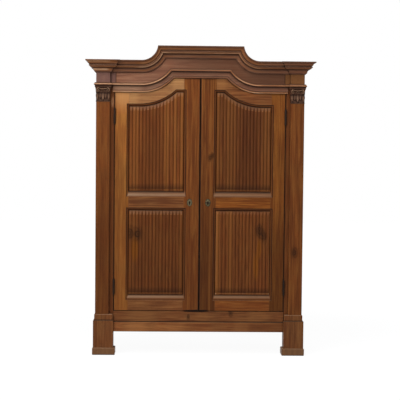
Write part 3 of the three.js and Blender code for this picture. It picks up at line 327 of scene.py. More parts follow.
def profile(runs, reach, foot, height):
    """A moulding's profile as (out, height) points: each run of shares is one smooth curve, a run of two a
    straight line, and the wall behind closes it."""
    curves = [smooth_curve(run, 7 if len(run) > 2 else 1) for run in runs]
    shares = np.concatenate(curves)
    keep = np.append(True, np.abs(np.diff(shares, axis=0)).sum(1) > 1e-6)
    points = shares[keep] * (reach, height) + (0, foot)
    return np.concatenate([[[FIT, foot]], points, [[FIT, foot + height]]])


def profile_hollow(points):
    """How far each point of a profile lies inside the straight line between its neighbours four places off."""
    span = 4
    padded = np.concatenate([points[:1]] * span + [points] + [points[-1:]] * span)
    chord = (padded[: -2 * span, 0] + padded[2 * span :, 0]) / 2
    return np.clip((chord - points[:, 0]) / 0.006, 0, 1)


CORNICE_RUNS = [
    [(0.09, 0), (0.11, 0.05)],
    [(0.11, 0.05), (0.16, 0.055), (0.19, 0.075), (0.2, 0.11)],
    [(0.2, 0.11), (0.21, 0.15)],
    [(0.21, 0.15), (0.235, 0.23), (0.31, 0.32), (0.42, 0.385), (0.54, 0.415)],
    [(0.54, 0.415), (0.57, 0.425)],
    [(0.57, 0.425), (0.57, 0.48)],
    [(0.6, 0.485), (0.66, 0.5), (0.69, 0.55), (0.66, 0.6), (0.63, 0.615)],
    [(0.63, 0.615), (0.64, 0.65)],
    [(0.64, 0.65), (0.69, 0.67), (0.745, 0.74), (0.78, 0.82), (0.86, 0.875), (0.96, 0.895)],
    [(0.96, 0.895), (1, 0.915)],
    [(1, 0.915), (1, 0.995)],
    [(1, 0.995), (0.985, 1)],
]
# Bands as (share of the height, half width, amount): the dark bands paint shade into the hollow mark, the pale ones
# paint highlight and wear into the pale mark; the same holds for the bead and the fascia below.
CORNICE_DARK = [(1.0, 0.08, 0.95), (0.64, 0.05, 1.0), (0.54, 0.03, 0.4), (0.36, 0.05, 0.85), (0.03, 0.03, 0.75)]
CORNICE_PALE = [(0.76, 0.12, 0.5), (0.455, 0.045, 1.3), (0.18, 0.05, 0.36)]
BEAD_RUNS = [
    [(0.6, 0), (0.6, 0.12)],
    [(0.6, 0.12), (0.84, 0.2), (0.99, 0.36), (0.99, 0.54), (0.84, 0.7), (0.66, 0.77)],
    [(0.66, 0.77), (0.6, 1)],
]
BEAD_DARK = [(0.1, 0.24, 1.0), (0.9, 0.16, 1.0)]
BEAD_PALE = [(0.56, 0.14, 1.0)]
FASCIA_RUNS = [
    [(0.85, 0), (0.97, 0.02), (1, 0.07)],
    [(1, 0.07), (1, 0.13), (1, 0.19), (1, 0.24)],
    [(1, 0.24), (0.985, 0.29), (0.93, 0.325), (0.9, 0.33)],
    [(0.62, 0.345), (0.6, 0.37)],
    [(0.6, 0.37), (0.56, 1)],
]
FASCIA_DARK = [(0.25, 0.06, 0.8), (0.86, 0.2, 1.0)]
FASCIA_PALE = [(0.05, 0.08, 0.9)]
# How strongly the painted highlight and wear of a line show along the front, the highlight standing in for light from
# the upper left: places, then amounts for the cornice, the bead and the fascia's lip.
HIGHLIGHT_X = (-0.75, -0.6, -0.44, -0.4, -0.27, -0.2, 0.2, 0.27, 0.4, 0.44, 0.6, 0.75)
HIGHLIGHT_CORNICE = (0.5, 0.5, 0.6, 1.0, 1.0, 0.7, 0.7, 0.7, 0.7, 0.4, 0.3, 0.3)
HIGHLIGHT_BEAD = (1.0, 0.9, 0.9, 1.0, 1.0, 0.3, 0.3, 0.8, 0.75, 0.3, 0.55, 0.7)
HIGHLIGHT_LIP = (0.8, 0.8, 0.9, 1.0, 0.8, 0.1, 0.1, 0.6, 0.95, 0.8, 0.7, 0.7)
BREAK_STATION = 4  # the inner corner of a break, counted from either end of the front's run
ARC_STEPS = 22


def swept_stations(low, outer, start):
    """Points along one line of the front's right half, from outer to just past the middle: level, round the arc
    in equal turns, and level. low holds one height for each point of the profile."""
    r = arc_radius(low)
    turns = np.linspace(0, 1, ARC_STEPS)[:, None] * np.arccos(1 - bpy.context.scene.kas_sweep.rise / r)
    x = start - r * np.sin(turns)
    z = low + r * (1 - np.cos(turns))
    level = np.array([0, 0.03, 0.25, 0.5, 0.75, 1])[:, None] * np.ones_like(low)
    lead = outer + (start - outer) * level
    tail = x[-1] * (1 - level[1:-1])
    ones = np.ones_like(low)
    xs = np.concatenate([lead[:-1], x, tail])
    zs = np.concatenate([low * np.ones((5, 1)), z, z[-1] * ones * np.ones((4, 1))])
    return xs, zs


def along(stations, points, dark, pale):
    """Hollow and pale marks of a moulding: painted shade from its profile's own hollows and its dark bands, and painted
    highlight and wear from its pale bands, the same at every station.
    """
    height = (points[:, 1] - points[0, 1]) / (points[-1, 1] - points[0, 1])
    shape = (stations, len(points))
    # rubbed holds painted highlight as well as wear.
    rubbed = bands(height, pale)
    hollow = np.clip(profile_hollow(points) * 0.6 + bands(height, dark), 0, 1) * (1 - rubbed)
    return np.broadcast_to(hollow, shape), np.broadcast_to(rubbed, shape)


def across(half):
    """A half front, stations x points x 3 from the right end inwards, with its mirror image to the left end."""
    other = half[::-1].copy()
    other[..., 0] *= -1
    return np.concatenate([half, other])


def broken_course(points):
    """A profile carried along the front: out from the case by its own reach, back at each break by the same
    reach, and along the sweep."""
    s = bpy.context.scene.kas_sweep
    out, low = points[:, 0], points[:, 1]
    near = FACE_Y - PILASTER_PROUD - out
    corner = np.stack([CASE_HALF + out, near, low], -1)
    fore = np.stack([PILASTER_X0 - out, near, low], -1)
    xs, zs = swept_stations(low, PILASTER_X0 - out, s.start)
    run = np.stack([xs, np.broadcast_to(FACE_Y - out, xs.shape), zs], -1)
    steps = np.linspace(0, 1, 4)[:-1, None, None]
    return np.concatenate([corner + (fore - corner) * steps, fore[None], run])


def make_cornice():
    """The cornice: one profile along the broken and swept front, and the same along each side."""
    m = bpy.context.scene.kas_moulding
    points = profile(CORNICE_RUNS, m.cornice_reach, m.cornice_foot, m.cornice_height)
    front = across(broken_course(points))
    runs = {"front": front}
    for side, name in ((1, "right"), (-1, "left")):
        out, z = points[:, 0], points[:, 1]
        near = np.stack([side * (CASE_HALF + out), FACE_Y + 2 * FIT - PILASTER_PROUD - out, z], -1)
        far = near.copy()
        far[:, 1] = BACK_Y
        runs[name] = near + (far - near) * np.linspace(0, 1, 9)[:, None, None]
    made = []
    for name, run in runs.items():
        hollow, pale = along(len(run), points, CORNICE_DARK, CORNICE_PALE)
        if name == "front":
            share_up = (points[:, 1] - m.cornice_foot) / m.cornice_height
            # Painted highlight: the pale bands vary along the front and are stronger at the left end, where the light
            # comes from; the inner corners of the breaks are painted shade.
            pale = pale * np.interp(run[..., 0], HIGHLIGHT_X, HIGHLIGHT_CORNICE)
            pale = pale + (run[..., 0] < -0.62) * bands(share_up, [(0.25, 0.08, 0.9), (0.87, 0.09, 0.6)])
            hollow = hollow * (1 - pale * 0.6)
            hollow[[BREAK_STATION, -1 - BREAK_STATION]] = 1.0
        piece = solid(f"cornice_{name}_run", [run], [hollow], [pale])
        made.append(place(piece, "case", "walnut_cornice", f"cornice_{name}"))
    return made


def make_architrave():
    """The bead round the case, and the fascia that hangs under it over the doors."""
    m, s = bpy.context.scene.kas_moulding, bpy.context.scene.kas_sweep
    points = profile(BEAD_RUNS, m.bead_reach, m.bead_foot, m.bead_height)
    half = broken_course(points)
    back = half[:1].copy()
    back[..., 1] = BACK_Y
    side = back + (half[:1] - back) * np.linspace(0, 1, 9)[:-1, None, None]
    bead = across(np.concatenate([side, half]))
    top = m.bead_foot + m.bead_height / 2
    low = profile(FASCIA_RUNS, m.fascia_reach, m.fascia_foot, top - m.fascia_foot)
    xs, zs = swept_stations(low[:, 1], m.fascia_end, s.start)
    fascia = across(np.stack([xs, np.broadcast_to(FACE_Y - low[:, 0], xs.shape), zs], -1))
    dark, paling = along(len(bead), points, BEAD_DARK, BEAD_PALE)
    lip_dark, lip_paling = along(len(fascia), low, FASCIA_DARK, FASCIA_PALE)
    # Painted highlight and wear on the bead and the fascia's lip, varying along the front.
    paling = paling * np.interp(bead[..., 0], HIGHLIGHT_X, HIGHLIGHT_BEAD)
    lip_paling = lip_paling * np.interp(fascia[..., 0], HIGHLIGHT_X, HIGHLIGHT_LIP)
    piece = solid("architrave_run", [bead, fascia], [dark, lip_dark], [paling, lip_paling])
    return [place(piece, "case", "walnut_cornice", "architrave_moulding")]


# ---------------------------------------------------------------- door openings and reeded panels

OPENINGS = {"lower": (0.380, 1.0235, False), "upper": (1.0995, 1.7415, True)}  # foot, head, arched
OPENING_OUTER, OPENING_INNER = 0.508, 0.096  # distances of an opening's two sides from the middle
TONGUE_FRONT, TONGUE_BACK = 0.0143, 0.0217  # depths of a panel's tongue behind the doors' face
# Points across a reed, rows on the bevel at either end, rows between them, and points across the side bevel
REED_POINTS, NOSE_ROWS, REED_ROWS, SIDE_POINTS = 15, 15, 16, 4
HEAD_POINTS, UPRIGHT_POINTS = 72, 24  # along an opening's head or foot, and along each of its sides
ON_REED, NOSE_TIP = 0.0008, 0.0007  # depths within which a point counts as lying on a reed, or on its tip
WORN_EDGE, WORN_HALF = 0.0035, 0.0022  # where the field's edge is worn, and half how wide
# How strong the painted highlight on a panel's noses is, and how worn the edge of its reeded field.
PANEL_SHINE_AND_WEAR = {
    "left_lower": (1.1, 0.3), "left_upper": (1.2, 0.0), "right_lower": (0.35, 0.9), "right_upper": (0.9, 0.35),
}
# The moulding round an opening, from its outer edge inwards: share of its width, depth, how deep in a hollow, where
# the finish paints shade, the same along the foot, and how much dust and painted sheen lie along the foot, where its
# slope faces up. The last rows lie in the wood and close it.
OPENING_ROWS = np.array([
    (0.02, 0.00015, 0.8, 0.0, 0.0), (0.045, 0.0025, 1.0, 0.15, 0.1), (0.13, 0.0018, 1.0, 0.0, 0.6),
    (0.26, 0.0012, 1.0, 0.0, 1.1), (0.42, 0.0015, 0.25, 0.0, 1.0), (0.58, 0.0029, 0.0, 0.05, 0.6),
    (0.72, 0.0049, 0.05, 0.3, 0.2), (0.82, 0.0068, 0.2, 0.7, 0.0), (0.92, 0.0094, 0.6, 0.9, 0.0),
    (0.995, 0.0114, 0.9, 1.0, 0.0), (0.97, 0.0130, 1.0, 1.0, 0.0), (-0.06, 0.0130, 0.0, 0.0, 0.0),
    (-0.06, 0.0006, 0.0, 0.0, 0.0), (0.02, 0.00015, 0.8, 0.0, 0.0),
])


def opening_moulding(name, side, foot, head, arched):
    """The moulding round a door opening: nested outlines of the opening, each drawn in by its share of the width
    and lying at its own depth, so that it is mitred at the corners; along the foot it is a broad slope, whose
    dust and painted sheen lie further in on the lower ones. Its hollow mark paints shade at its outer quirk and
    where it meets the panel."""
    start = bpy.context.scene.kas_sweep.panel_start if arched else -1.0
    wide, depth, hollow, at_foot, dust_and_sheen = OPENING_ROWS.T[:, :, None]
    if not arched:
        dust_and_sheen, at_foot = np.roll(dust_and_sheen, 2, axis=0) * 0.75, np.roll(at_foot, 1, axis=0)
    a = wide * bpy.context.scene.kas_moulding.opening_width
    t, u = (np.linspace(0, 1, points, endpoint=False)[None] for points in (HEAD_POINTS, UPRIGHT_POINTS))
    left, right = OPENING_INNER + a, OPENING_OUTER - a
    low = foot + a + wide * bpy.context.scene.kas_reeds.foot_step
    z_out, z_in = swept(head - a, right, start), swept(head - a, left, start)
    head_x = right + (left - right) * t
    x = np.concatenate([left + (right - left) * t, right + 0 * u, head_x, left + 0 * u], 1)
    head_z = swept(head - a, head_x, start)
    z = np.concatenate([low + 0 * t, low + (z_out - low) * u, head_z, z_in + (low - z_in) * u], 1)
    flat = np.concatenate([0 * t + 1, 0 * u, 0 * t, 0 * u], 1)
    # Painted highlight: the sheen along the foot is strongest at the left and fades towards the right.
    paling = np.interp(side * x, (-0.5, -0.2, 0.2, 0.5), (1.0, 0.7, 0.6, 0.4))
    grid = np.stack([side * x, np.broadcast_to(FACE_Y + depth, x.shape), z], -1)
    made = annulus(name, grid, {"hollow": hollow + (at_foot - hollow) * flat, "pale": -dust_and_sheen * paling * flat})
    upright = np.tile(np.concatenate([0 * t, 0 * u + 1, 0 * t, 0 * u + 1], 1)[0], len(grid) - 1)
    marks = made.data.attributes.new("upright", "INT", "FACE")
    marks.data.foreach_set("value", upright.astype(np.int32))
    return made


def reeded_panel(name, side, x_out, x_in, foot, head, arched, shine, rim):
    """A reeded panel. Across it, each reed's depth is crest + depth (1 - cos(pi/2 u)), u from -1 to 1 over the
    reed. Along it, a bevel cuts the reeds' ends to noses: depth falls in proportion to the distance from the end,
    measured along the same arc as the door's top. The tongue goes round at its own depth. shine says how strong
    the painted highlight on the noses is, and rim how worn the edge of the field is."""
    s, sw = bpy.context.scene.kas_reeds, bpy.context.scene.kas_sweep
    start = sw.panel_start if arched else -1.0
    valley = s.crest + s.depth + FIT
    x0, x1 = x_in + s.inset, x_out - s.inset
    pitch = (x1 - x0) / s.number
    u = np.linspace(-1, 1, REED_POINTS)
    bunched = np.sign(u) * np.abs(u) ** 0.8
    reeds = (x0 + pitch * (np.arange(s.number)[:, None] + (bunched[None, :-1] + 1) / 2)).ravel()
    xs = np.concatenate([[x0 + 1e-5], reeds[1:], [x1 - 1e-5]])
    edge = np.linspace(0, 1, SIDE_POINTS)[1:-1] * s.side
    xs = np.unique(np.concatenate([xs, x0 + edge, x1 - edge]))
    grid_x = np.concatenate([[x_in + s.tongue, x0], xs, [x1, x_out - s.tongue]])
    field = np.concatenate([[False, False], np.ones(len(xs), bool), [False, False]])

    def line(inset, at_foot):
        if at_foot:
            return np.full_like(grid_x, foot + s.foot_step + inset)
        return swept(head - inset, grid_x, start) if arched else np.full_like(grid_x, head - inset)

    noses = np.linspace(0, 1, NOSE_ROWS)
    low = np.stack([line(s.inset + n * s.foot_run, True) for n in noses])
    high = np.stack([line(s.inset + n * s.head_run, False) for n in noses[::-1]])
    mid = np.linspace(0, 1, REED_ROWS)[1:-1, None]
    z = np.concatenate([low, low[-1] + (high[0] - low[-1]) * mid, high])
    e = np.concatenate([noses, np.ones(len(mid)), noses[::-1]])[:, None]

    across_reed = ((grid_x - x0) / pitch) % 1 * 2 - 1
    reed = s.crest + s.depth * (1 - np.cos(across_reed * math.pi / 2)) * field
    near = s.crest - FIT
    bevel = valley + (near - valley) * e
    edge_run = np.clip(np.minimum(grid_x - x0, x1 - grid_x) / s.side, 0, 1)
    flank = valley + (near - valley) * edge_run
    y = np.maximum(np.maximum(reed[None, :], bevel), flank[None, :])
    y = np.where(field[None, :], y, TONGUE_FRONT)
    on_reed = np.clip(1 - (y - reed[None, :]) / ON_REED, 0, 1) * field
    # Painted shade in the hollow mark: the reeds' valleys, the foot's bevel, which faces down, the top edge of the
    # head's bevel and the field's sides.
    hollow = np.abs(across_reed)[None, :] ** 8 * on_reed * 0.9
    at_head = np.concatenate([np.zeros(len(noses) + len(mid)), np.ones(len(noses))])[:, None]
    at_foot = np.arange(len(e))[:, None] < len(noses)
    hollow = np.maximum(hollow, at_foot * ((1 - e) ** 3 * 0.7 + np.exp(-(((1 - e) / 0.2) ** 2)) * 0.75))
    hollow = np.maximum(hollow, at_head * np.exp(-((e / 0.14) ** 2)) * 0.9)
    hollow = np.maximum(hollow, (1 - edge_run)[None, :] * field * 0.9)
    # Painted highlight: the noses' tips take the pale mark, and the head's bevel, which faces up, the dust-and-sheen
    # colour.
    cut = at_head * (e < 1)
    tip = np.exp(-((np.abs(y - reed[None, :]) / NOSE_TIP) ** 2)) * np.exp(-(((1 - e) / 0.14) ** 2)) * cut
    dust_and_sheen_share = cut * (0.2 - 0.14 * on_reed) * shine
    pale = np.where(tip * (np.abs(across_reed)[None, :] < 0.5) > 0.25, 0.55 * min(shine, 1), -dust_and_sheen_share)
    from_side = np.minimum(grid_x - x0, x1 - grid_x)[None, :]
    paling = np.exp(-(((from_side - WORN_EDGE) / WORN_HALF) ** 2)) + at_foot * np.exp(-(((e - 0.45) / 0.14) ** 2))
    pale = np.maximum(pale, np.where(paling > 0.2, paling * rim * 0.6, pale)) * field

    t_low, t_high = line(s.tongue, True), line(s.tongue, False)
    skirt = [(t_low, TONGUE_FRONT), (z[0], TONGUE_FRONT)]
    crown = [(z[-1], TONGUE_FRONT), (t_high, TONGUE_FRONT), (t_high, TONGUE_BACK), (t_low, TONGUE_BACK)]
    zs = np.stack([a for a, _ in skirt] + list(z) + [a for a, _ in crown])
    ys = np.concatenate([
        np.stack([np.full_like(grid_x, b) for _, b in skirt]), y,
        np.stack([np.full_like(grid_x, b) for _, b in crown]),
    ])
    hs, ps = np.zeros_like(ys), np.zeros_like(ys)
    hs[2 : 2 + len(y)], ps[2 : 2 + len(y)] = hollow, pale
    # Painted shade in the gap round the panel, where the tongue meets the field.
    hs[1] = hs[2 + len(y)] = 1.0
    shape = np.stack([np.broadcast_to(side * grid_x, ys.shape), FACE_Y + ys, zs], -1)
    return solid(name, [shape.transpose(1, 0, 2)], [hs.T], [ps.T], angle=50)


def make_panels():
    """The four reeded panels, inside the openings that the door rails and stiles leave, and the mouldings there."""
    made = []
    for side, name in ((-1, "left"), (1, "right")):
        for level, (foot, head, arched) in OPENINGS.items():
            node = f"{name}_{level}_panel"
            shine_and_wear = PANEL_SHINE_AND_WEAR[f"{name}_{level}"]
            piece = reeded_panel(node + "_reeded", side, OPENING_OUTER, OPENING_INNER, foot, head, arched, *shine_and_wear)
            made.append(place(piece, f"{name}_door", "walnut_panel", node))
            piece = opening_moulding(f"{name}_{level}_opening_moulding", side, foot, head, arched)
            made.append(place(piece, f"{name}_door", "walnut_door"))
    return made


# ---------------------------------------------------------------- capitals

LEAF_ROWS, LEAF_POINTS = 28, 17
DOME_ROWS, DOME_POINTS = 14, 32
CORD_POINTS = 12  # round the band of a scroll, and round the band over both
# Rings up a capital as (share of its height, growth over the pilaster), and the steps between two of them
CAPITAL_RUNS = [
    ([(0, 0.001), (0.015, 0.0022), (0.03, 0.0026), (0.045, 0.0018), (0.055, 0.0004)], 4),
    ([(0.07, 0.0003), (0.3, 0.0005), (0.5, 0.0014), (0.53, 0.0026)], 5),
    ([(0.535, 0.0002), (0.56, 0.0002)], 2),
    ([(0.57, 0.0022), (0.72, 0.003), (0.86, 0.0048)], 5),
]
# Dark bands of the bell as (share of its height, half width, amount), painted shade in the hollow mark.
CAPITAL_DARK = [(0.06, 0.02, 0.9), (0.3, 0.2, 0.75), (0.55, 0.03, 1.0), (0.75, 0.1, 0.5)]
CAPITAL_NECK = [(0.86, 0.0042), (0.88, 0.0062), (0.905, 0.0074), (0.92, 0.0074)]
ABACUS = [(0.925, 0.0086), (0.985, 0.0095), (1.0, 0.0095)]
# Leaves as (place from the middle, half width, length, how strong its painted highlight is), the two sizes as shares of
# the capital's
LEAVES = [
    (-2, 0.1, 0.45, 0.4), (2, 0.1, 0.45, 0.4), (-1, 0.085, 0.36, 0.2), (1, 0.085, 0.36, 0.2), (0, 0.13, 0.47, 0.5),
]


def leaf_patch(cx, half, z0, span, face, lift, shine):
    """A hanging leaf: from its root down to a point, half its width is half (1 - v^2.6) (1 + 0.3 sin(pi v)); it
    stands off the bell by lift times v, curls out at its tip, and has a rib and sloping veins. v runs to the tip."""
    v = np.linspace(0, 0.995, LEAF_ROWS)[:, None]
    u = np.linspace(-1, 1, LEAF_POINTS)[None, :]
    w = half * (1 - v**2.6) * (1 + 0.3 * np.sin(math.pi * v)) * (0.94 + 0.06 * np.cos(8 * math.pi * v))
    rib = 0.0024 * np.exp(-((u / 0.2) ** 2)) * (1 - 0.5 * v)
    veins = 0.0009 * np.cos(2 * math.pi * (4 * v - 1.4 * np.abs(u))) * np.abs(u)
    out = lift * (0.4 + 0.6 * v) * (1 - 0.55 * u**2) + rib + veins + 0.003 * v**5
    z = z0 - span * v + 0 * u
    x = cx + w * u
    front = np.stack([x, face - out, z], -1)
    back = np.stack([x, face - out * 0.35 + 0.002, z], -1)
    # Painted shade at the leaf's edges and root, and a painted highlight down its middle, as strong as shine.
    dirt_and_shade = np.clip(0.95 * np.abs(u) ** 2.5 + 0.5 * (1 - v) ** 3, 0, 1)
    light = -shine * np.exp(-((u / 0.5) ** 2)) * np.sin(math.pi * np.clip(v, 0, 1)) ** 0.7
    blank = np.zeros((LEAF_ROWS, LEAF_POINTS))
    return (
        np.concatenate([front, back[:, ::-1]], 1),
        np.concatenate([dirt_and_shade + blank, blank + 1], 1),
        np.concatenate([light + blank, blank], 1),
    )


def volute_patch(cx, cz, face, radius, turns, way):
    """A scroll: a round-backed band along the spiral r = radius e^(-0.2 angle), its width and height in
    proportion to r, rising towards the eye. way is 1 or -1 for the hand that it turns."""
    t = np.linspace(0, 1, 96)[:, None]
    angle = t * turns * 2 * math.pi
    r = radius * np.exp(-0.2 * angle) * 0.84
    phi = round_turn(CORD_POINTS)[None, :]
    band = 0.26 * r + 0.0008
    rr = r + band * np.cos(phi)
    a = math.pi / 2 + angle
    x = cx + way * rr * np.cos(a)
    z = cz + rr * np.sin(a)
    proud = 0.009 + 0.004 * t
    y = face - proud * 0.5 - proud * 0.55 * np.sin(phi)
    # Painted shade under and behind the band, and a painted highlight on its front, strongest on the upper turns.
    hollow = np.clip(0.2 - np.sin(phi), 0, 1) + 0 * t
    pale = -np.clip(np.sin(phi) - 0.3, 0, 1) * (0.4 + 0.5 * np.clip(np.sin(a), 0, 1))
    return np.stack([x, y, z], -1), hollow, pale


def dome_patch(cx, cz, back, radius, height, pit=0.0):
    """A boss: rings whose radius goes from the full one to nothing as the height rises on a quarter ellipse. pit
    sinks its middle to a hole."""
    t = np.linspace(0, 1, DOME_ROWS)[:, None]
    phi = round_turn(DOME_POINTS)[None, :]
    rho = np.cos(t * math.pi / 2 * 0.985)
    sunk = np.exp(-((rho / 0.42) ** 4))
    y = back - height * np.sin(t * math.pi / 2) + pit * sunk + 0 * phi
    x = cx + radius * rho * np.cos(phi)
    z = cz + radius * rho * np.sin(phi)
    foot = np.stack([x[0], np.full(DOME_POINTS, back + 0.002), z[0]], -1)[None]
    # Painted shade round the boss's foot and in its pit.
    dirt_and_shade = np.clip(1 - np.sin(t * math.pi / 2) * 1.6 + (pit > 0) * sunk * 2, 0, 1) + 0 * phi
    return (
        np.concatenate([foot, np.stack([x, y, z], -1)]),
        np.concatenate([np.ones((1, DOME_POINTS)), dirt_and_shade]),
        np.zeros((DOME_ROWS + 1, DOME_POINTS)),
    )


def swag_patch(x0, x1, ends, dip, face):
    """A round band over the two scrolls: its height is ends - dip (1 - (2s - 1)^2), s running from x0 to x1."""
    s = np.linspace(0, 1, 40)[:, None]
    phi = round_turn(CORD_POINTS)[None, :]
    z = ends - dip * (1 - (2 * s - 1) ** 2) + 0.0028 * np.cos(phi)
    x = x0 + (x1 - x0) * s + 0 * phi
    y = face - 0.004 - 0.0045 * np.sin(phi) + 0 * s
    # Painted shade under the band and a painted highlight on its front.
    dirt_and_shade, light = np.clip(0.3 - np.sin(phi), 0, 1) + 0 * s, -0.45 * np.clip(np.sin(phi), 0, 1) + 0 * s
    return np.stack([x, y, z], -1), dirt_and_shade, light


def plan_ring(x0, x1, front, back, radius, hollow):
    """The plan of a capital's part: a rectangle whose front corners are rounded, and whose front is hollowed
    by a parabola."""
    turn = np.linspace(0, math.pi / 2, 6)
    right = np.stack([x1 - radius + radius * np.sin(turn), front + radius - radius * np.cos(turn)], -1)
    left = np.stack([x0 + radius - radius * np.cos(turn), front + radius - radius * np.sin(turn)], -1)
    inner = np.linspace(x0 + radius, x1 - radius, 17)[1:-1]
    mid = np.stack([inner, np.full_like(inner, front)], -1)
    ring = np.concatenate([[[x0, back]], left, mid, right, [[x1, back]]])
    share = (2 * ring[:, 0] - x0 - x1) / (x1 - x0)
    ring[1:-1, 1] += hollow * np.clip(1 - share[1:-1] ** 2, 0, 1)
    return ring


def stacked_rings(levels, x0, x1, radius=0.003, hollow=0.0):
    """Rings stacked up the capital: each level is (height, growth), and the plan grows by it on three sides."""
    rings = []
    for z, grow in levels:
        ring = plan_ring(x0 - grow, x1 + grow, FACE_Y - PILASTER_PROUD - grow, FACE_Y - FIT, radius, hollow)
        rings.append(np.column_stack([ring, np.full(len(ring), z)]))
    return np.array(rings)


def make_capitals():
    """A carved capital on each pilaster: hanging leaves on the bell, over them a scroll at each side with a
    dipping band between, two pierced rings in the middle, and a hollowed abacus."""
    c = bpy.context.scene.kas_capital
    x0, x1 = PILASTER_X0, CASE_HALF
    cx, wide, tall = (x0 + x1) / 2, x1 - x0, c.head - c.foot
    face = FACE_Y - PILASTER_PROUD

    def up(part):
        return c.foot + tall * part

    rows = np.concatenate([smooth_curve(knots, steps) for knots, steps in CAPITAL_RUNS])
    dirt_and_shade = bands(rows[:, 0], CAPITAL_DARK)
    # The hollow marks are painted shade: the bell's dark bands, and the neck and the abacus darkened evenly.
    parts = [(stacked_rings([(up(a), g) for a, g in rows], x0, x1), dirt_and_shade[:, None], 0.0)]
    neck = smooth_curve(CAPITAL_NECK, 4)
    parts.append((stacked_rings([(up(a), g) for a, g in neck], x0, x1, 0.0015, 0.006), 0.45, 0.0))
    parts.append((stacked_rings([(up(a), g) for a, g in ABACUS], x0, x1, 0.0012, 0.006), 0.3, 0.0))
    for n, half, drop, shine in LEAVES:
        at, lift = cx + n * wide * 0.205, c.leaf * (1 - 0.08 * abs(n))
        parts.append(leaf_patch(at, wide * half, up(0.525), tall * drop, face, lift, shine))
    reach, scroll_z, scroll_y = wide / 2 - c.volute * 0.86, up(0.715), face - 0.0035
    for n in (-1, 1):
        parts.append(volute_patch(cx + n * reach, scroll_z, scroll_y, c.volute, c.turns, -n))
        parts.append(dome_patch(cx + n * reach, scroll_z, scroll_y, 0.0038, 0.0115))
        parts.append(dome_patch(cx + n * 0.0075, up(0.665), face - 0.001, c.eyelet, 0.0075, 0.006))
    parts.append(swag_patch(cx - reach, cx + reach, scroll_z + c.volute * 0.9, 0.007, face - 0.003))
    made = []
    for side, name in ((1, "right"), (-1, "left")):
        patches, marks = [], []
        for patch, hollow, pale in parts:
            patch = patch.copy()
            patch[..., 0] *= side
            patch[..., 1] = np.minimum(patch[..., 1], FACE_Y - FIT)
            patches.append(patch)
            marks.append([np.broadcast_to(values, patch.shape[:2]) for values in (hollow, pale)])
        piece = solid(f"{name}_capital_carved", patches, *zip(*marks), angle=55)
        made.append(place(piece, "case", "walnut_cornice", f"{name}_capital"))
    return made


# ---------------------------------------------------------------- fittings

EYE, SLOT, SLOT_DROP = 0.0037, 0.0025, 0.015  # a keyhole's eye radius, its slot's half width and the slot's foot
# Rings of an escutcheon: share of the way from the keyhole to the rim, and rise in millimetres
PLATE_WAY = (0, 0, 0.05, 0.12, 0.2, 0.26, 0.34, 0.44, 0.54, 0.62, 0.7, 0.82, 0.94, 1, 1)
PLATE_RISE = (0, 0.5, 0.6, 0.7, 0.9, 1.3, 1.9, 2.1, 1.9, 1.3, 0.95, 0.9, 0.9, 0.6, 0)
# The key's stem as (place, radius): past the bow, at the doors' face, and at its tip
SHANK = 0.0032
STEM_NECK = [
    (0, 0.0021), (0.0006, SHANK), (0.0016, 0.0044), (0.0026, 0.0048), (0.0036, 0.0044), (0.0046, SHANK),
    (0.0052, SHANK),
]
STEM_COLLAR = [
    (-0.0064, SHANK), (-0.0062, 0.0052), (-0.0052, 0.0055), (-0.0038, 0.0055), (-0.0034, 0.0050), (-0.0033, SHANK),
]
STEM_TIP = [(-0.0006, SHANK), (0, 0.0026)]
# The bit's outline as (height, share of its width), with a notch
BIT = np.array([
    (-0.0015, 0), (0.0015, 0), (0.0015, 1), (0.0006, 1), (0.0006, 0.62), (-0.0006, 0.62), (-0.0006, 1), (-0.0015, 1),
])
BIT_REACH, BIT_WIDTH, BIT_BACK = 0.011, 0.005, 0.0055


def keyhole_plate(cx):
    """An oval plate, crowned on a cosine towards its rim with a raised cord half way out, and a keyhole: a
    round eye with a slot below, sunk as a ring of the same plate."""
    f = bpy.context.scene.kas_fittings
    cz, back = f.lock_height, FACE_Y - FIT
    phi = round_turn(96)
    dx, dz = np.cos(phi), np.sin(phi)
    reach_side = SLOT / np.maximum(np.abs(dx), 1e-6)
    reach_down = SLOT_DROP / np.maximum(-dz, 1e-6)
    hole = np.where(dz < 0, np.maximum(EYE, np.minimum(reach_side, reach_down)), EYE)
    rim = 1 / np.sqrt((dx / f.plate_width) ** 2 + (dz / f.plate_height) ** 2)
    t, rise = np.array(PLATE_WAY)[:, None], np.array(PLATE_RISE)[:, None] * 0.001
    r = hole + (rim - hole) * t
    front = np.stack([cx + r * dx, back - rise + 0 * r, cz + r * dz], -1)
    ring = np.concatenate([front, front[:1]])
    # The hollow mark: patina in the low rings, and painted shade at the keyhole's edge and the plate's rim.
    hollow = np.clip(1.15 - rise / 0.0016, 0, 1) + 0.35 * (rise < 0.00075) + 0 * r
    return ring, np.concatenate([hollow, hollow[:1]])


def make_plates():
    """The two escutcheons."""
    f = bpy.context.scene.kas_fittings
    made = []
    for name, cx in (("left", -f.left_keyhole), ("right", f.right_keyhole)):
        grid, hollow = keyhole_plate(cx)
        piece = annulus(f"{name}_escutcheon_plate", grid, {"hollow": hollow})
        made.append(place(piece, f"{name}_door", "aged_brass", f"{name}_escutcheon"))
    return made


def turned_rod(cx, cz, levels):
    """A turned part along Y: levels are (y, radius)."""
    y, r = np.array(levels).T
    phi = round_turn(28)[None, :]
    x, z = cx + r[:, None] * np.cos(phi), cz + r[:, None] * np.sin(phi)
    return np.stack([x, y[:, None] + 0 * x, z], -1)


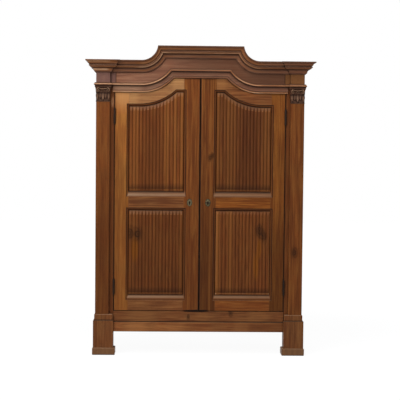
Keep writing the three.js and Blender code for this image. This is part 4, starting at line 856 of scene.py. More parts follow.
def make_key():
    """The key: a heart-drawn bow of round wire lying level, a shank with two rings and a collar, and the bit."""
    f = bpy.context.scene.kas_fittings
    cx, cz = f.right_keyhole, f.lock_height
    lo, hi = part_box("right_lock_key")
    bow_y = lo.y + f.bow + f.wire
    a, b = round_turn(72), round_turn(14)
    sway = 1 + 0.06 * np.cos(2 * a)
    centre = np.stack([cx + f.bow * np.sin(a), bow_y - f.bow * np.cos(a) * sway, np.full_like(a, cz)], -1)
    out = np.stack([np.sin(a), -np.cos(a), 0 * a], -1)
    wire = f.wire * (1 + 0.18 * np.cos(a))[:, None, None]
    up = np.array([0, 0, 1.0])
    loop = centre[:, None] + wire * (np.cos(b)[None, :, None] * out[:, None] + np.sin(b)[None, :, None] * up)
    loop = np.minimum(np.maximum(loop, (lo.x, lo.y, -9)), (hi.x, 9, 9))
    bow = annulus("key_bow", np.concatenate([loop, loop[:1]]), {})
    y0, y1 = bow_y + f.bow - 0.0012, hi.y
    levels = [(base + y, r) for base, part in ((y0, STEM_NECK), (FACE_Y, STEM_COLLAR), (y1, STEM_TIP)) for y, r in part]
    shank = turned_rod(cx, cz, levels)
    y = y1 - BIT_BACK + BIT_WIDTH * BIT[:, 1]
    bit = np.stack([np.stack([np.full(len(BIT), x), y, cz + BIT[:, 0]], -1) for x in (cx, cx + BIT_REACH)])
    stem = solid("key_stem", [shank, bit])
    place(bow, "key", "dark_iron", "right_lock_key")
    place(stem, "key", "dark_iron", "right_lock_key")
    return [bow, stem]


# ---------------------------------------------------------------- shader maths

class Term:
    """A shader socket that can be used in arithmetic; each operation adds one Math node."""

    def __init__(self, paint, socket):
        self.paint, self.socket = paint, socket

    def math(self, operation, *others):
        return self.paint.term("ShaderNodeMath", {"operation": operation}, dict(enumerate((self, *others))))

    def __add__(self, other): return self.math("ADD", other)
    def __radd__(self, other): return self.math("ADD", other)
    def __sub__(self, other): return self.math("SUBTRACT", other)
    def __mul__(self, other): return self.math("MULTIPLY", other)
    def __rmul__(self, other): return self.math("MULTIPLY", other)
    def __truediv__(self, other): return self.math("DIVIDE", other)
    def __pow__(self, other): return self.math("POWER", other)
    def __neg__(self): return self.math("MULTIPLY", -1.0)

    def __rsub__(self, other):
        return self.paint.term("ShaderNodeMath", {"operation": "SUBTRACT"}, {0: other, 1: self})

    def clamp(self):
        return self.paint.term("ShaderNodeClamp", {}, {"Value": self})

    def ease(self, low, high):
        """0 below low, 1 above high, and a smooth step between."""
        inputs = {"Value": self, "From Min": low, "From Max": high}
        return self.paint.term("ShaderNodeMapRange", {"interpolation_type": "SMOOTHSTEP"}, inputs)

    def wave(self):
        """From 0 to 1 and back, once for each full turn."""
        return self.math("SINE") * 0.5 + 0.5


class Paint:
    """The nodes of a material or of the world, in the making."""

    def __init__(self, owner):
        self.owner = owner
        owner.use_nodes = True
        self.tree = owner.node_tree
        self.tree.nodes.clear()

    def node(self, kind, settings=None, inputs=None):
        """A node of a type, its settings first, then the values or links of its sockets."""
        made = self.tree.nodes.new(kind)
        for key, value in (settings or {}).items():
            setattr(made, key, value)
        for key, value in (inputs or {}).items():
            socket = made.inputs[key]
            if isinstance(value, Term):
                value = value.socket
            if isinstance(value, bpy.types.NodeSocket):
                self.tree.links.new(value, socket)
            elif hasattr(value, "__len__") and len(value) == 3 and socket.type == "RGBA":
                socket.default_value = (*value, 1.0)
            else:
                socket.default_value = value
        return made

    def term(self, kind, settings=None, inputs=None, output=0):
        return Term(self, self.node(kind, settings, inputs).outputs[output])

    def blend(self, factor, a, b):
        """Colour a towards colour b by the factor."""
        return self.term("ShaderNodeMix", {"data_type": "RGBA"}, {0: factor, 6: a, 7: b}, 2)

    def vector(self, operation, *inputs, output=0):
        return self.term("ShaderNodeVectorMath", {"operation": operation}, dict(enumerate(inputs)), output)

    def noise(self, where, scale, detail=2.0, rough=0.5):
        return self.term(
            "ShaderNodeTexNoise", {}, {"Vector": where, "Scale": scale, "Detail": detail, "Roughness": rough}
        )

    def parts_of(self, vector):
        """The X, Y and Z of a vector."""
        made = self.node("ShaderNodeSeparateXYZ", {}, {"Vector": vector})
        return [Term(self, socket) for socket in made.outputs]

    def mark(self, name):
        """A value that the mesh carries at its points."""
        return self.term("ShaderNodeAttribute", {"attribute_name": name}, {}, "Fac")

    def coordinates(self):
        """Where a point lies, in the object's own frame."""
        return self.term("ShaderNodeTexCoord", output="Object")

    def from_spot(self, real, at_x, at_z, by_x, by_z):
        """How far a point lies from a spot of the front, its distances across and up each multiplied by a number."""
        off = self.vector("SUBTRACT", real, (at_x, FACE_Y, at_z))
        return self.vector("LENGTH", self.vector("MULTIPLY", off, (by_x, 0.0, by_z)), output="Value")

    def open_sky(self, distance):
        """1 in the open, and less where something stands within the distance."""
        return self.term("ShaderNodeAmbientOcclusion", {"samples": 6}, {"Distance": distance}, "AO")

    def soft_edges(self, radius):
        """The normal of a surface whose edges are rounded by the radius."""
        return self.term("ShaderNodeBevel", {"samples": 4}, {"Radius": radius})

    def bump(self, strength, distance, height, **normal):
        inputs = {"Strength": strength, "Distance": distance, "Height": height, **normal}
        return self.term("ShaderNodeBump", {}, inputs)

    def surface(self, tint, rough, normal, sheen, metal=0.0):
        """The material, finished as one surface."""
        look = {
            "Base Color": tint, "Metallic": metal, "Roughness": rough, "Normal": normal, "Specular IOR Level": sheen,
        }
        return self.finish(self.term("ShaderNodeBsdfPrincipled", {}, look))

    def finish(self, shader, kind="ShaderNodeOutputMaterial"):
        self.node(kind, {}, {"Surface": shader})
        return self.owner


def along_grain(axis, slow):
    """A scale that draws a pattern out along the grain's axis."""
    return tuple(slow if a == axis else 1.0 for a in "XYZ")


def drawn_out(paint, real, axis, seed, slow=0.07):
    """Object coordinates moved by a seed, and drawn out along the grain, so that what is read there runs with it."""
    shift = np.random.default_rng(seed).uniform(-40, 40, 3)
    inputs = {"Vector": real, "Location": tuple(shift), "Scale": along_grain(axis, slow)}
    return paint.term("ShaderNodeMapping", {}, inputs)


def tinted(colour_in, *by):
    """A colour with each channel multiplied by its own number."""
    by = by * 3 if len(by) == 1 else by
    return tuple(c * b for c, b in zip(colour_in, by))


def mix_toward(a, b, t):
    return tuple(x + (y - x) * t for x, y in zip(a, b))


WAX_SHEEN = 0.09
# Cells a metre of the wood's noises: the slow one whose contours are the growth lines, and what bends it; broad
# and narrow streaks; threads, fibres and pores; and the mottle of the wax
LINE_CELLS, BEND_CELLS, BROAD_CELLS, DRIFT_CELLS = 5.2, 26.0, 11.0, 34.0
THREAD_CELLS, FIBRE_CELLS, PORE_CELLS, MOTTLE_CELLS = 115.0, 430.0, 900.0, 8.0
LINES, KNOT_LINES = 23.0, 3.0  # growth lines for each unit of the slow noise, and round a knot
FULL_TURN = 6.2832
SEAM_FADES, SEAM_ENDS = 0.005, 0.013  # depths behind the front face between which seams and pits fade
SCUFF_BELOW, SCUFF_ABOVE = 0.004, 0.002  # how far either side of its height a scuff fades
END_EDGE = 0.0005  # half the blur where the end pieces' grain begins
END_SEED = 50  # what is added to the seed there


def walnut(name, axis, tone, seed, level=1.0, streak=1.0, knots=(), rubs=(), stripes=(), seams=(), shade_fades=(),
           shadow_pits=(), ends=None, scuffed=None):
    """Waxed walnut: growth lines as the contours of a slow noise drawn out along the grain, broad pale and dark
    streaks, fibres and pores, knots that the lines bend round, dust and a painted sheen where it faces up, painted
    shade with wax and dirt in the hollows and corners, painted shade where it faces down, in shadow pits and along
    shade fades, wax and dirt along the joints, painted highlights and wear by the pale mark, and rubbed edges. level
    multiplies the tone, streak the strength of the streaks; the comment over MARKS says what the others hold."""
    w = bpy.context.scene.kas_walnut
    grime_and_shade, dust_and_sheen, worn_and_lit_pale = tuple(w.grime_and_shade), tuple(w.dust_and_sheen), tuple(w.rubbed)
    base = tinted(getattr(w, tone), level)
    golden, deep = tinted(base, 1.5, 1.72, 1.75), tinted(base, 0.52, 0.43, 0.46)
    ember = tinted(base, 1.12, 0.86, 0.75)
    p = Paint(bpy.data.materials.new(name))
    real = p.coordinates()
    x, y, z = p.parts_of(real)
    aside = x.math("ABSOLUTE")
    fore = 1.0 - y.ease(FACE_Y + SEAM_FADES, FACE_Y + SEAM_ENDS)
    where = drawn_out(p, real, axis, seed)
    if ends:
        upright = aside.ease(ends - END_EDGE, ends + END_EDGE)
        other = drawn_out(p, real, "Z", seed + END_SEED)
        where = p.term("ShaderNodeMix", {"data_type": "VECTOR"}, {0: upright, 4: where, 5: other}, 1)
    pull = 0.0
    for at_x, at_z, size in knots:
        near = (1.0 - p.from_spot(real, at_x, at_z, 1.0, 0.6) / size).clamp()
        pull = near ** 2 + pull
    slow = p.noise(p.vector("ADD", where, p.noise(where, BEND_CELLS, 2.0) * 0.02), LINE_CELLS, 2.5, 0.45)
    lines = slow * LINES + pull * KNOT_LINES if knots else slow * LINES
    rings = (lines * FULL_TURN).wave()
    broad = p.noise(where, BROAD_CELLS, 3.0, 0.55).ease(0.34, 0.66)
    drift = p.noise(where, DRIFT_CELLS, 2.0, 0.6).ease(0.36, 0.68)
    longer = p.vector("MULTIPLY", where, along_grain(axis, 0.5))
    thread = p.noise(longer, THREAD_CELLS, 2.0, 0.6)
    fibre = p.noise(longer, FIBRE_CELLS, 3.0, 0.65)
    pores = p.noise(where, PORE_CELLS, 1.0).ease(0.62, 0.72)
    mottle = p.noise(real, MOTTLE_CELLS, 3.0, 0.6)
    tint = p.blend(broad * (0.55 * streak), base, golden)
    tint = p.blend(mottle.ease(0.35, 0.65) * 0.5, tint, ember)
    tint = p.blend(drift * (0.55 * streak), tint, deep)
    tint = p.blend(thread.ease(0.5, 0.66) * (0.5 * streak), tint, golden)
    tint = p.blend((1.0 - thread).ease(0.5, 0.68) * (0.55 * streak), tint, deep)
    tint = p.blend((rings ** 2.5) * 0.32, tint, deep)
    tint = p.blend(fibre.ease(0.42, 0.7) * 0.3, tint, deep)
    tint = p.blend(pores * 0.4, tint, grime_and_shade)
    # Painted shade: the shade fades darken a member along an axis, where the light falls off.
    for part, clear, full, amount in shade_fades:
        away = (({"X": x, "Z": z}[part] - clear) * (1 / (full - clear))).clamp()
        tint = p.blend(away * amount, tint, tinted(base, 0.3, 0.26, 0.22))
    for at_x, half, amount in stripes:
        beside = 1.0 - (x - at_x).math("ABSOLUTE").ease(half * 0.4, half * 1.3)
        tint = p.blend(beside * (abs(amount) * (0.75 + 0.5 * thread)), tint, golden if amount > 0 else deep)
    for at_x, at_z, wide, tall, amount, pallor in rubs:
        near = 1.0 - p.from_spot(real, at_x, at_z, 1 / wide, 1 / tall).ease(0.45, 1.15)
        tint = p.blend(near * (0.2 + mottle * 0.7) * amount, tint, mix_toward(golden, worn_and_lit_pale, pallor))
    if knots:
        tint = p.blend((pull * 2.0).clamp() * (0.55 + rings * 0.35), tint, tinted(base, 0.16))
    if ends:
        other = p.blend(x.ease(-0.1, 0.1), tinted(w.plum, 0.9, 1.0, 1.5), tinted(w.amber, 0.77, 0.94, 1.55))
        tint = p.blend(upright * 0.75, tint, other)

    geometry = p.node("ShaderNodeNewGeometry").outputs
    # Painted sheen and dust: surfaces that face up take the dust-and-sheen colour, standing in for the light from
    # above; those that face down are darkened below as painted shade.
    facing = p.parts_of(geometry["Normal"])[2]
    upward, downward = facing.ease(0.12, 0.7), (-facing).ease(0.2, 0.9)
    tint = p.blend(upward * (0.22 + mottle * 0.55), tint, dust_and_sheen)
    # The pale mark: painted highlights and rubbed wear, amber then pale; below nothing it paints the dust-and-sheen
    # colour.
    pale = p.mark("pale") * (0.6 + mottle * 0.8)
    tint = p.blend((pale * 1.8).clamp(), tint, tinted(w.amber, 1.05, 1.1, 1.3))
    tint = p.blend((pale * 2.2 - 0.9).clamp(), tint, worn_and_lit_pale)
    tint = p.blend((-pale).clamp(), tint, dust_and_sheen)
    # Painted shade with wax and dirt: ambient occlusion in corners, the hollow mark and down-facing surfaces darken
    # towards the grime-and-shade colour; the seams are dirt along the joints.
    corner = (1.0 - p.open_sky(0.02)).ease(0.36, 0.76) * 0.85
    dirt_and_shade = (corner + p.mark("hollow") * 0.85 + downward * 0.2) * (1.0 - pale.clamp() * 0.75)
    for part, at, half in seams:
        off = ({"X": aside, "Z": z, "ACROSS": x}[part] - at).math("ABSOLUTE")
        dirt_and_shade = (1.0 - off.ease(half * 0.4, half * 1.2)) * fore * 0.8 + dirt_and_shade
    dirt_and_shade = dirt_and_shade * (0.75 + mottle * 0.4)
    # Painted shade: the shadow pits darken the keyholes and the doors' feet.
    for at_x, at_z, wide, tall in shadow_pits:
        dirt_and_shade = (1.0 - p.from_spot(real, at_x, at_z, 1 / wide, 1 / tall).ease(0.85, 1.1)) * fore + dirt_and_shade
    dirt_and_shade = dirt_and_shade.clamp()
    soft = p.soft_edges(0.0016)
    edge = 1.0 - p.vector("DOT_PRODUCT", soft, geometry["True Normal"], output="Value")
    rubbed = edge.ease(0.02, 0.25) * (0.2 + mottle * 0.8)
    tint = p.blend(rubbed * 0.4, tint, mix_toward(golden, worn_and_lit_pale, 0.5))
    if scuffed:
        low = 1.0 - z.ease(scuffed - SCUFF_BELOW, scuffed + SCUFF_ABOVE)
        tint = p.blend(low * (0.25 + mottle * 0.5), tint, tuple(w.scuffs))
    tint = p.blend(dirt_and_shade, tint, grime_and_shade)
    bump = p.bump(0.22, 0.0006, fibre * 0.5 + rings * 0.35 - pores * 0.6, Normal=soft)
    rough = (0.34 + fibre * 0.14 + pores * 0.1 + dirt_and_shade * 0.28 + upward * 0.12 - rubbed * 0.05).clamp()
    return p.surface(tint, rough, bump, WAX_SHEEN)


def raw_wood(name, axis, seed):
    """Unpolished boards of the inside and back: pale brown, saw-marked and dusty, with dark growth lines."""
    w = bpy.context.scene.kas_walnut
    base = tuple(w.inside)
    p = Paint(bpy.data.materials.new(name))
    real = p.coordinates()
    where = drawn_out(p, real, axis, seed, 0.09)
    rings = (p.noise(where, 6.0, 2.0, 0.45) * 170.0).wave()
    fibre = p.noise(p.vector("MULTIPLY", where, along_grain(axis, 0.3)), 380.0, 3.0, 0.7)
    tint = p.blend(p.noise(where, 14.0, 3.0).ease(0.35, 0.7) * 0.6, base, tinted(base, 0.5))
    tint = p.blend(rings ** 3 * 0.35, tint, tinted(base, 0.38))
    tint = p.blend(fibre.ease(0.45, 0.7) * 0.35, tint, tinted(base, 0.5))
    tint = p.blend(p.noise(real, 5.0, 4.0, 0.6).ease(0.5, 0.75) * 0.3, tint, tuple(w.loose_dust))
    # Painted shade: the corners colour where ambient occlusion finds something near.
    tint = p.blend((1.0 - p.open_sky(0.06)).ease(0.3, 0.9) * 0.7, tint, tuple(w.corners))
    bump = p.bump(0.3, 0.0008, fibre * 0.6 + rings * 0.4, Normal=p.soft_edges(0.0012))
    return p.surface(tint, (0.62 + fibre * 0.25).clamp(), bump, 0.15)


def black_iron(name):
    """Blackened wrought iron: forge scale as fine and coarse noise, and rust in patches."""
    m = bpy.context.scene.kas_metal
    p = Paint(bpy.data.materials.new(name))
    real = p.coordinates()
    scale = p.noise(real, 260.0, 4.0, 0.6)
    patch = p.noise(real, 70.0, 3.0).ease(0.5, 0.68)
    tint = p.blend(scale.ease(0.3, 0.8), tuple(m.iron), tinted(m.iron, 2.2))
    tint = p.blend(patch * 0.7, tint, tuple(m.rust))
    metal, rough = (0.1 - patch * 0.1).clamp(), (0.5 + scale * 0.3 + patch * 0.2).clamp()
    return p.surface(tint, rough, p.bump(0.5, 0.0004, scale), 0.12, metal)


def old_brass(name):
    """Aged brass: a worn yellow metal under a green-brown film that stays in the hollows, finely scratched."""
    m = bpy.context.scene.kas_metal
    p = Paint(bpy.data.materials.new(name))
    real = p.coordinates()
    cloud = p.noise(real, 130.0, 4.0, 0.65)
    fine = p.noise(p.vector("MULTIPLY", real, (1.0, 1.0, 0.2)), 1900.0, 2.0)
    film = (cloud.ease(0.3, 0.6) * 0.6 + p.mark("hollow") * 0.9).clamp()
    tint = p.blend(film, tuple(m.brass), tuple(m.patina))
    # Painted shade: the keyhole colour where the hollow mark is deepest, at the keyhole's edge and the plate's rim.
    tint = p.blend((p.mark("hollow") - 0.75).clamp() * 3.0, tint, tuple(m.keyhole))
    metal, rough = (0.6 - film * 0.5).clamp(), (0.34 + film * 0.3 + fine * 0.1).clamp()
    return p.surface(tint, rough, p.bump(0.2, 0.0003, cloud + fine * 0.3), 0.2, metal)


# Which way the grain runs in each visible member, its tone, how light it is and how strongly it is streaked.
MEMBERS = {
    "front_left_foot": ("Z", "drab", 1.0, 0.7), "front_right_foot": ("Z", "drab", 0.95, 0.9),
    "front_left_post": ("Z", "umber", 1.1, 0.6), "front_right_post": ("Z", "umber", 1.1, 0.8),
    "left_pilaster": ("Z", "russet", 1.0, 0.8), "right_pilaster": ("Z", "russet", 0.93, 1.1),
    "left_capital_carved": ("Z", "plum", 0.68, 0.3), "right_capital_carved": ("Z", "plum", 0.66, 0.3),
    "left_side_top_rail": ("Y", "russet", 1.0, 0.8), "right_side_top_rail": ("Y", "russet", 1.0, 0.8),
    "left_side_bottom_rail": ("Y", "umber", 1.1, 0.8), "right_side_bottom_rail": ("Y", "umber", 1.1, 0.8),
    "left_side_panel": ("Z", "russet", 1.0, 1.0), "right_side_panel": ("Z", "russet", 1.0, 1.0),
    "apron": ("X", "drab", 1.45, 1.1), "sill_rail": ("X", "drab", 1.05, 1.2),
    "frieze_board": ("X", "plum", 1.65, 0.7), "architrave_run": ("X", "plum", 1.1, 0.6),
    "cornice_front_run": ("X", "plum", 1.25, 0.7), "cornice_left_run": ("Y", "plum", 1.1, 0.7),
    "cornice_right_run": ("Y", "plum", 1.1, 0.7),
    "left_hanging_stile": ("Z", "honey", 0.92, 0.8), "left_meeting_stile": ("Z", "russet", 1.03, 1.0),
    "left_top_rail": ("X", "tan", 0.93, 0.7), "left_lock_rail": ("X", "drab", 1.05, 1.4),
    "left_bottom_rail": ("X", "drab", 1.1, 1.3), "left_upper_panel_reeded": ("Z", "russet", 1.05, 0.65),
    "left_lower_panel_reeded": ("Z", "umber", 1.2, 0.7),
    "right_hanging_stile": ("Z", "amber", 0.73, 1.2), "right_meeting_stile": ("Z", "russet", 0.92, 1.2),
    "right_top_rail": ("X", "drab", 1.12, 1.2), "right_lock_rail": ("X", "amber", 0.88, 1.2),
    "right_bottom_rail": ("X", "russet", 1.2, 1.2), "right_upper_panel_reeded": ("Z", "umber", 1.1, 0.9),
    "right_lower_panel_reeded": ("Z", "umber", 1.32, 0.8),
}
# Tone and level of the moulding round each opening
OPENING_TONES = {
    "left_lower": ("russet", 0.8), "left_upper": ("russet", 0.9), "right_lower": ("russet", 0.75),
    "right_upper": ("russet", 0.8),
}
# The joint between door and post, on the door and on the post, and what both feet carry
HANGING_SEAM = [("X", 0.5895, 0.004)]
POST_SEAM = [("X", 0.5925, 0.004)]
FOOT_MARKS = {"scuffed": 0.052, "seams": [("Z", 0.2425, 0.005)]}
# What the members carry; x and z are places on the front.
# knots: (x, z, radius), which the growth lines bend round.
# rubs: (x, z, half width, half height, amount, pallor), worn golden, and by the pallor further on towards pale; a
# pallor below nothing goes the other way.
# stripes: (x, half width, amount), golden, or deep brown where the amount is below nothing.
# seams: dark joints (axis, place, half width), where X counts from the middle to both sides and ACROSS to the right.
# shade_fades: painted shade, towards a darker tone where the light falls off (axis, where it begins, where it is full,
# amount).
# shadow_pits: painted shade, dark spots where the keyholes and the doors' feet lie in shade (x, z, half width, half
# height).
# ends: how far from the middle the upright end pieces begin. scuffed: how high up a foot is scuffed.
MARKS = {
    "left_lower_panel_reeded": {
        "knots": [(-0.483, 0.845, 0.05), (-0.425, 0.84, 0.05)], "shade_fades": [("Z", 1.0, 0.5, 0.12)],
        "stripes": [(-0.46, 0.02, 0.25), (-0.134, 0.009, 0.45)], "rubs": [(-0.447, 0.735, 0.03, 0.1, 1.2, -0.08)],
    },
    "right_lower_panel_reeded": {
        "knots": [(0.42, 0.87, 0.05), (0.45, 0.83, 0.04)], "stripes": [(0.127, 0.018, 0.9), (0.215, 0.022, 0.5)],
        "rubs": [(0.418, 0.74, 0.018, 0.08, 1.3, -0.08), (0.396, 0.62, 0.022, 0.11, 1.3, -0.08)],
    },
    "right_upper_panel_reeded": {
        "stripes": [(0.13, 0.014, 0.55), (0.21, 0.04, 0.4), (0.335, 0.065, -0.4), (0.455, 0.03, 0.4)],
    },
    "left_upper_panel_reeded": {
        "stripes": [
            (-0.445, 0.02, 0.35), (-0.231, 0.014, 0.5), (-0.17, 0.009, 0.55), (-0.128, 0.012, 0.5), (-0.33, 0.07, -0.4),
        ],
    },
    "left_meeting_stile": {
        "seams": [("ACROSS", 0.0, 0.0062), ("ACROSS", -0.001, 0.0045)], "shade_fades": [("Z", 1.3, 0.8, 0.2)],
        "shadow_pits": [(-0.069, 1.0565, 0.005, 0.0125), (-0.03, 0.308, 0.08, 0.006)],
    },
    "right_meeting_stile": {
        "seams": [("ACROSS", 0.002, 0.0062), ("ACROSS", 0.002, 0.004)], "shade_fades": [("Z", 1.4, 0.7, 0.62)],
        "knots": [(0.071, 1.372, 0.026), (0.088, 1.39, 0.022)],
        "shadow_pits": [(0.058, 1.0565, 0.005, 0.0125), (0.02, 0.308, 0.05, 0.006)], "stripes": [(0.074, 0.008, 0.35)],
    },
    "left_hanging_stile": {
        "seams": HANGING_SEAM, "shade_fades": [("Z", 1.6, 1.2, 0.34)],
        "rubs": [(-0.53, 1.83, 0.09, 0.16, 0.9, 0.3), (-0.53, 1.83, 0.09, 0.1, 0.8, 0.3)],
    },
    "right_hanging_stile": {"seams": HANGING_SEAM, "shade_fades": [("Z", 1.05, 0.72, 0.55)]},
    "left_pilaster": {"shade_fades": [("Z", 1.4, 0.9, 0.4)]},
    "front_left_post": {"rubs": [(-0.606, 1.752, 0.012, 0.042, 1.0, 0.3)], "seams": POST_SEAM},
    "front_right_post": {"seams": POST_SEAM},
    "right_pilaster": {"knots": [(0.66, 0.72, 0.04)]},
    "architrave_run": {"stripes": [(-0.5, 0.11, 1.0), (-0.33, 0.05, 0.4), (0.0, 0.19, -0.25)]},
    "left_top_rail": {"stripes": [(-0.15, 0.05, 0.3), (-0.48, 0.06, 0.4)]},
    "right_top_rail": {"knots": [(0.27, 1.95, 0.1)], "stripes": [(0.14, 0.04, 0.4)]},
    "sill_rail": {
        "knots": [(0.224, 0.296, 0.03), (-0.071, 0.264, 0.022)], "seams": [("Z", 0.232, 0.003)],
        "stripes": [(-0.4, 0.1, 0.3), (0.02, 0.05, 0.2), (0.42, 0.08, 0.3)], "shadow_pits": [(-0.02, 0.302, 0.09, 0.004)],
    },
    "apron": {
        "seams": [("Z", 0.2302, 0.005), ("Z", 0.161, 0.004)], "shade_fades": [("X", -0.3, 0.5, 0.4)],
        "stripes": [(-0.43, 0.08, 0.4), (-0.16, 0.07, 0.25), (0.3, 0.06, 0.2)],
    },
    "frieze_board": {
        "ends": 0.583, "seams": [("X", 0.583, 0.0035)], "shade_fades": [("X", -0.4, 0.05, 0.7), ("X", 0.1, 0.45, 0.55)],
    },
    "front_left_foot": FOOT_MARKS, "front_right_foot": FOOT_MARKS,
}
# Which way the grain runs in the unpolished boards
INNER = {
    "rear_left_post": "Z", "rear_right_post": "Z", "bottom_board": "X", "top_board": "X", "shelf_1": "X",
    "shelf_2": "X", "shelf_3": "X", "back_board_1": "Z", "back_board_2": "Z", "back_board_3": "Z",
}

# First seed of the random shifts of each kind of finish
MEMBER_SEED, RAIL_SEED, STILE_SEED, INNER_SEED, HIDDEN_SEED = 11, 71, 81, 211, 5


def give(made, material):
    made.data.materials.clear()
    made.data.materials.append(material)


def finish_all():
    """Every piece and every CAD node gets its own finish."""
    for n, (name, (axis, tone, level, streak)) in enumerate(MEMBERS.items()):
        material = walnut("walnut_" + name, axis, tone, MEMBER_SEED + n, level, streak, **MARKS.get(name, {}))
        give(bpy.data.objects[name], material)
    for n, (name, (tone, level)) in enumerate(OPENING_TONES.items()):
        made = bpy.data.objects[name + "_opening_moulding"]
        give(made, walnut(f"walnut_{name}_rail_moulding", "X", tone, RAIL_SEED + n, level, 0.5))
        made.data.materials.append(walnut(f"walnut_{name}_stile_moulding", "Z", tone, STILE_SEED + n, level, 0.5))
        upright = np.empty(len(made.data.polygons), np.int32)
        made.data.attributes["upright"].data.foreach_get("value", upright)
        made.data.polygons.foreach_set("material_index", upright)
    for n, (name, axis) in enumerate(INNER.items()):
        give(bpy.data.objects[name], raw_wood("inner_" + name, axis, INNER_SEED + n))
    iron, brass = black_iron("blackened_iron"), old_brass("aged_brass_film")
    hidden = walnut("walnut_hidden", "X", "plum", HIDDEN_SEED)
    for made in bpy.data.objects:
        if made.type != "MESH" or made.name in MEMBERS or made.name in INNER or "opening" in made.name:
            continue
        if "escutcheon" in made.name:
            give(made, brass)
        elif any(word in made.name for word in ("hinge", "key", "lock_case", "bolt")):
            give(made, iron)
        elif made.hide_render:
            give(made, hidden)
    return [made for made in bpy.data.objects if made.type == "MESH" and made.data.materials]


# ---------------------------------------------------------------- stage

FLOOR_HALF, FLOOR_LINES, FLOOR_DROP = 14, 15, 0.0004
# Each lamp's name, place, target, width and height, and the property that holds its power
LAMPS = [
    ("key_lamp", (-2.9, -4.4, 4.0), (0, -0.2, 1.2), (2.4, 2.4), "key_power"),
    ("fill_lamp", (3.6, -5.2, 2.2), (0, -0.2, 1.0), (3.0, 3.0), "fill_power"),
    ("top_lamp", (-0.3, -1.9, 4.6), (0, -0.3, 1.4), (3.2, 1.2), "top_power"),
]


def area_lamp(name, at, target, size, power):
    data = bpy.data.lights.new(name, "AREA")
    data.shape, data.size, data.size_y, data.energy = "RECTANGLE", size[0], size[1], power
    lamp = bpy.data.objects.new(name, data)
    bpy.context.scene.collection.objects.link(lamp)
    lamp.location = at
    lamp.rotation_euler = (Vector(target) - Vector(at)).to_track_quat("-Z", "Y").to_euler()


def seen_ray(p):
    """1 for a ray from the camera, or one that a mirror or glass sends on."""
    path = p.node("ShaderNodeLightPath")
    camera, glossy = Term(p, path.outputs["Is Camera Ray"]), Term(p, path.outputs["Is Glossy Ray"])
    return camera.math("MAXIMUM", glossy).math("MAXIMUM", path.outputs["Is Transmission Ray"])


def make_stage():
    """A pale floor that shows white with the cupboard's soft shadow, a white surround, lamps and the camera."""
    scene = bpy.context.scene
    s = scene.kas_stage
    scene.view_settings.view_transform = "Standard"
    side = np.linspace(-FLOOR_HALF, FLOOR_HALF, FLOOR_LINES)
    gx, gy = np.meshgrid(side, side)
    flat = np.stack([gx, gy, np.full_like(gx, -FLOOR_DROP)], -1).reshape(-1, 3)
    quads = grid_quads(FLOOR_LINES, FLOOR_LINES, False, False)
    mesh = bpy.data.meshes.new("studio_floor")
    mesh.from_pydata(flat.tolist(), [], quads.tolist())
    floor = bpy.data.objects.new("studio_floor", mesh)
    scene.collection.objects.link(floor)
    p = Paint(bpy.data.materials.new("studio_white"))
    plain = p.term("ShaderNodeBsdfDiffuse", {}, {"Color": (0.8, 0.8, 0.8)})
    lit = p.term("ShaderNodeBsdfDiffuse", {}, {"Color": (0.09, 0.09, 0.09)})
    # Painted shade: the floor's glow is a little grey within 1.2 m of the origin and fades to white by 4 m.
    off = p.vector("LENGTH", p.coordinates(), output="Value")
    white = p.blend(off.ease(1.2, 4.0), (0.95, 0.95, 0.95), (1, 1, 1))
    glow = p.term("ShaderNodeEmission", {}, {"Color": white, "Strength": 1.0})
    both = p.term("ShaderNodeAddShader", {}, {0: lit, 1: glow})
    shown = p.term("ShaderNodeMixShader", {}, {0: seen_ray(p), 1: plain, 2: both})
    mesh.materials.append(p.finish(shown))

    scene.world = bpy.data.worlds.new("studio_surround")
    p = Paint(scene.world)
    dim = p.term("ShaderNodeBackground", {}, {"Color": (0.9, 0.93, 1.0), "Strength": 0.3})
    white = p.term("ShaderNodeBackground", {}, {"Color": (1, 1, 1), "Strength": 1.0})
    mixed = p.term("ShaderNodeMixShader", {}, {0: seen_ray(p), 1: dim, 2: white})
    p.finish(mixed, "ShaderNodeOutputWorld")

    for name, at, target, size, power in LAMPS:
        area_lamp(name, at, target, size, getattr(s, power))

    data = bpy.data.cameras.new("photo_view")
    data.sensor_fit, data.sensor_width, data.lens = "HORIZONTAL", 36, s.lens
    data.clip_end = 100
    camera = bpy.data.objects.new("photo_view", data)
    scene.collection.objects.link(camera)
    right = np.array([math.cos(s.yaw), -math.sin(s.yaw), 0])
    ahead = np.array([math.sin(s.yaw), math.cos(s.yaw), 0]) * math.cos(s.pitch) + np.array([0, 0, math.sin(s.pitch)])
    up = np.cross(right, ahead)
    r = right * math.cos(s.roll) + up * math.sin(s.roll)
    u = up * math.cos(s.roll) - right * math.sin(s.roll)
    turn = Matrix(np.stack([r, u, -ahead], 1).tolist())
    camera.rotation_euler = turn.to_euler()
    camera.location = (s.camera_x, s.camera_y, s.camera_z)
    scene.camera = camera
    return [floor, camera]


# ---------------------------------------------------------------- the operators

def done(operator, pieces):
    """The operator's answer, and an error where it made nothing."""
    if not pieces:
        raise RuntimeError(f"{operator.bl_label} made nothing")
    return {"FINISHED"}


class KAS_OT_cornice(bpy.types.Operator):
    """Run the cornice along the front and sides"""
    bl_idname = "kas.cornice"
    bl_label = "Cornice"

    def execute(self, context):
        return done(self, make_cornice())


class KAS_OT_architrave(bpy.types.Operator):
    """Run the bead and the fascia over the doors"""
    bl_idname = "kas.architrave"
    bl_label = "Architrave"

    def execute(self, context):
        return done(self, make_architrave())


class KAS_OT_panels(bpy.types.Operator):
    """Shape the four reeded door panels"""
    bl_idname = "kas.panels"
    bl_label = "Reeded Panels"

    def execute(self, context):
        return done(self, make_panels())


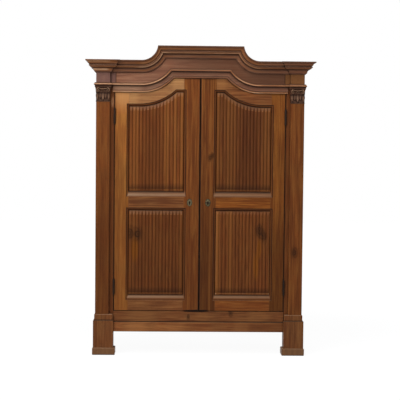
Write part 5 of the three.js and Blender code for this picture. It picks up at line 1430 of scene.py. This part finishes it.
class KAS_OT_capitals(bpy.types.Operator):
    """Carve the two capitals"""
    bl_idname = "kas.capitals"
    bl_label = "Capitals"

    def execute(self, context):
        return done(self, make_capitals())


class KAS_OT_plates(bpy.types.Operator):
    """Shape the two escutcheons"""
    bl_idname = "kas.plates"
    bl_label = "Escutcheons"

    def execute(self, context):
        return done(self, make_plates())


class KAS_OT_key(bpy.types.Operator):
    """Shape the key"""
    bl_idname = "kas.key"
    bl_label = "Key"

    def execute(self, context):
        return done(self, make_key())


class KAS_OT_finish(bpy.types.Operator):
    """Give every piece its wood or metal"""
    bl_idname = "kas.finish"
    bl_label = "Finishes"

    def execute(self, context):
        return done(self, finish_all())


class KAS_OT_stage(bpy.types.Operator):
    """Set the floor, the lamps and the camera"""
    bl_idname = "kas.stage"
    bl_label = "Stage"

    def execute(self, context):
        return done(self, make_stage())


# ---------------------------------------------------------------- the add-on

OPERATORS = [
    KAS_OT_cornice, KAS_OT_architrave, KAS_OT_panels, KAS_OT_capitals, KAS_OT_plates, KAS_OT_key, KAS_OT_finish,
    KAS_OT_stage,
]


class KAS_PT_parts(bpy.types.Panel):
    bl_idname = "KAS_PT_parts"
    bl_label = "Kas Cupboard"
    bl_space_type = "VIEW_3D"
    bl_region_type = "UI"
    bl_category = "Kas"

    def draw(self, context):
        for made in OPERATORS:
            self.layout.operator(made.bl_idname)
        for key, group in GROUPS.items():
            box = self.layout.box()
            for name in group.__annotations__:
                box.prop(getattr(context.scene, key), name)


def register():
    for made in [*GROUPS.values(), *OPERATORS, KAS_PT_parts]:
        bpy.utils.register_class(made)
    for key, group in GROUPS.items():
        setattr(bpy.types.Scene, key, PointerProperty(type=group))


def unregister():
    for key in GROUPS:
        delattr(bpy.types.Scene, key)
    for made in reversed([*GROUPS.values(), *OPERATORS, KAS_PT_parts]):
        bpy.utils.unregister_class(made)


def main():
    register()
    for made in OPERATORS:
        getattr(bpy.ops.kas, made.bl_idname.split(".")[1])()


if __name__ == "__main__":
    main()
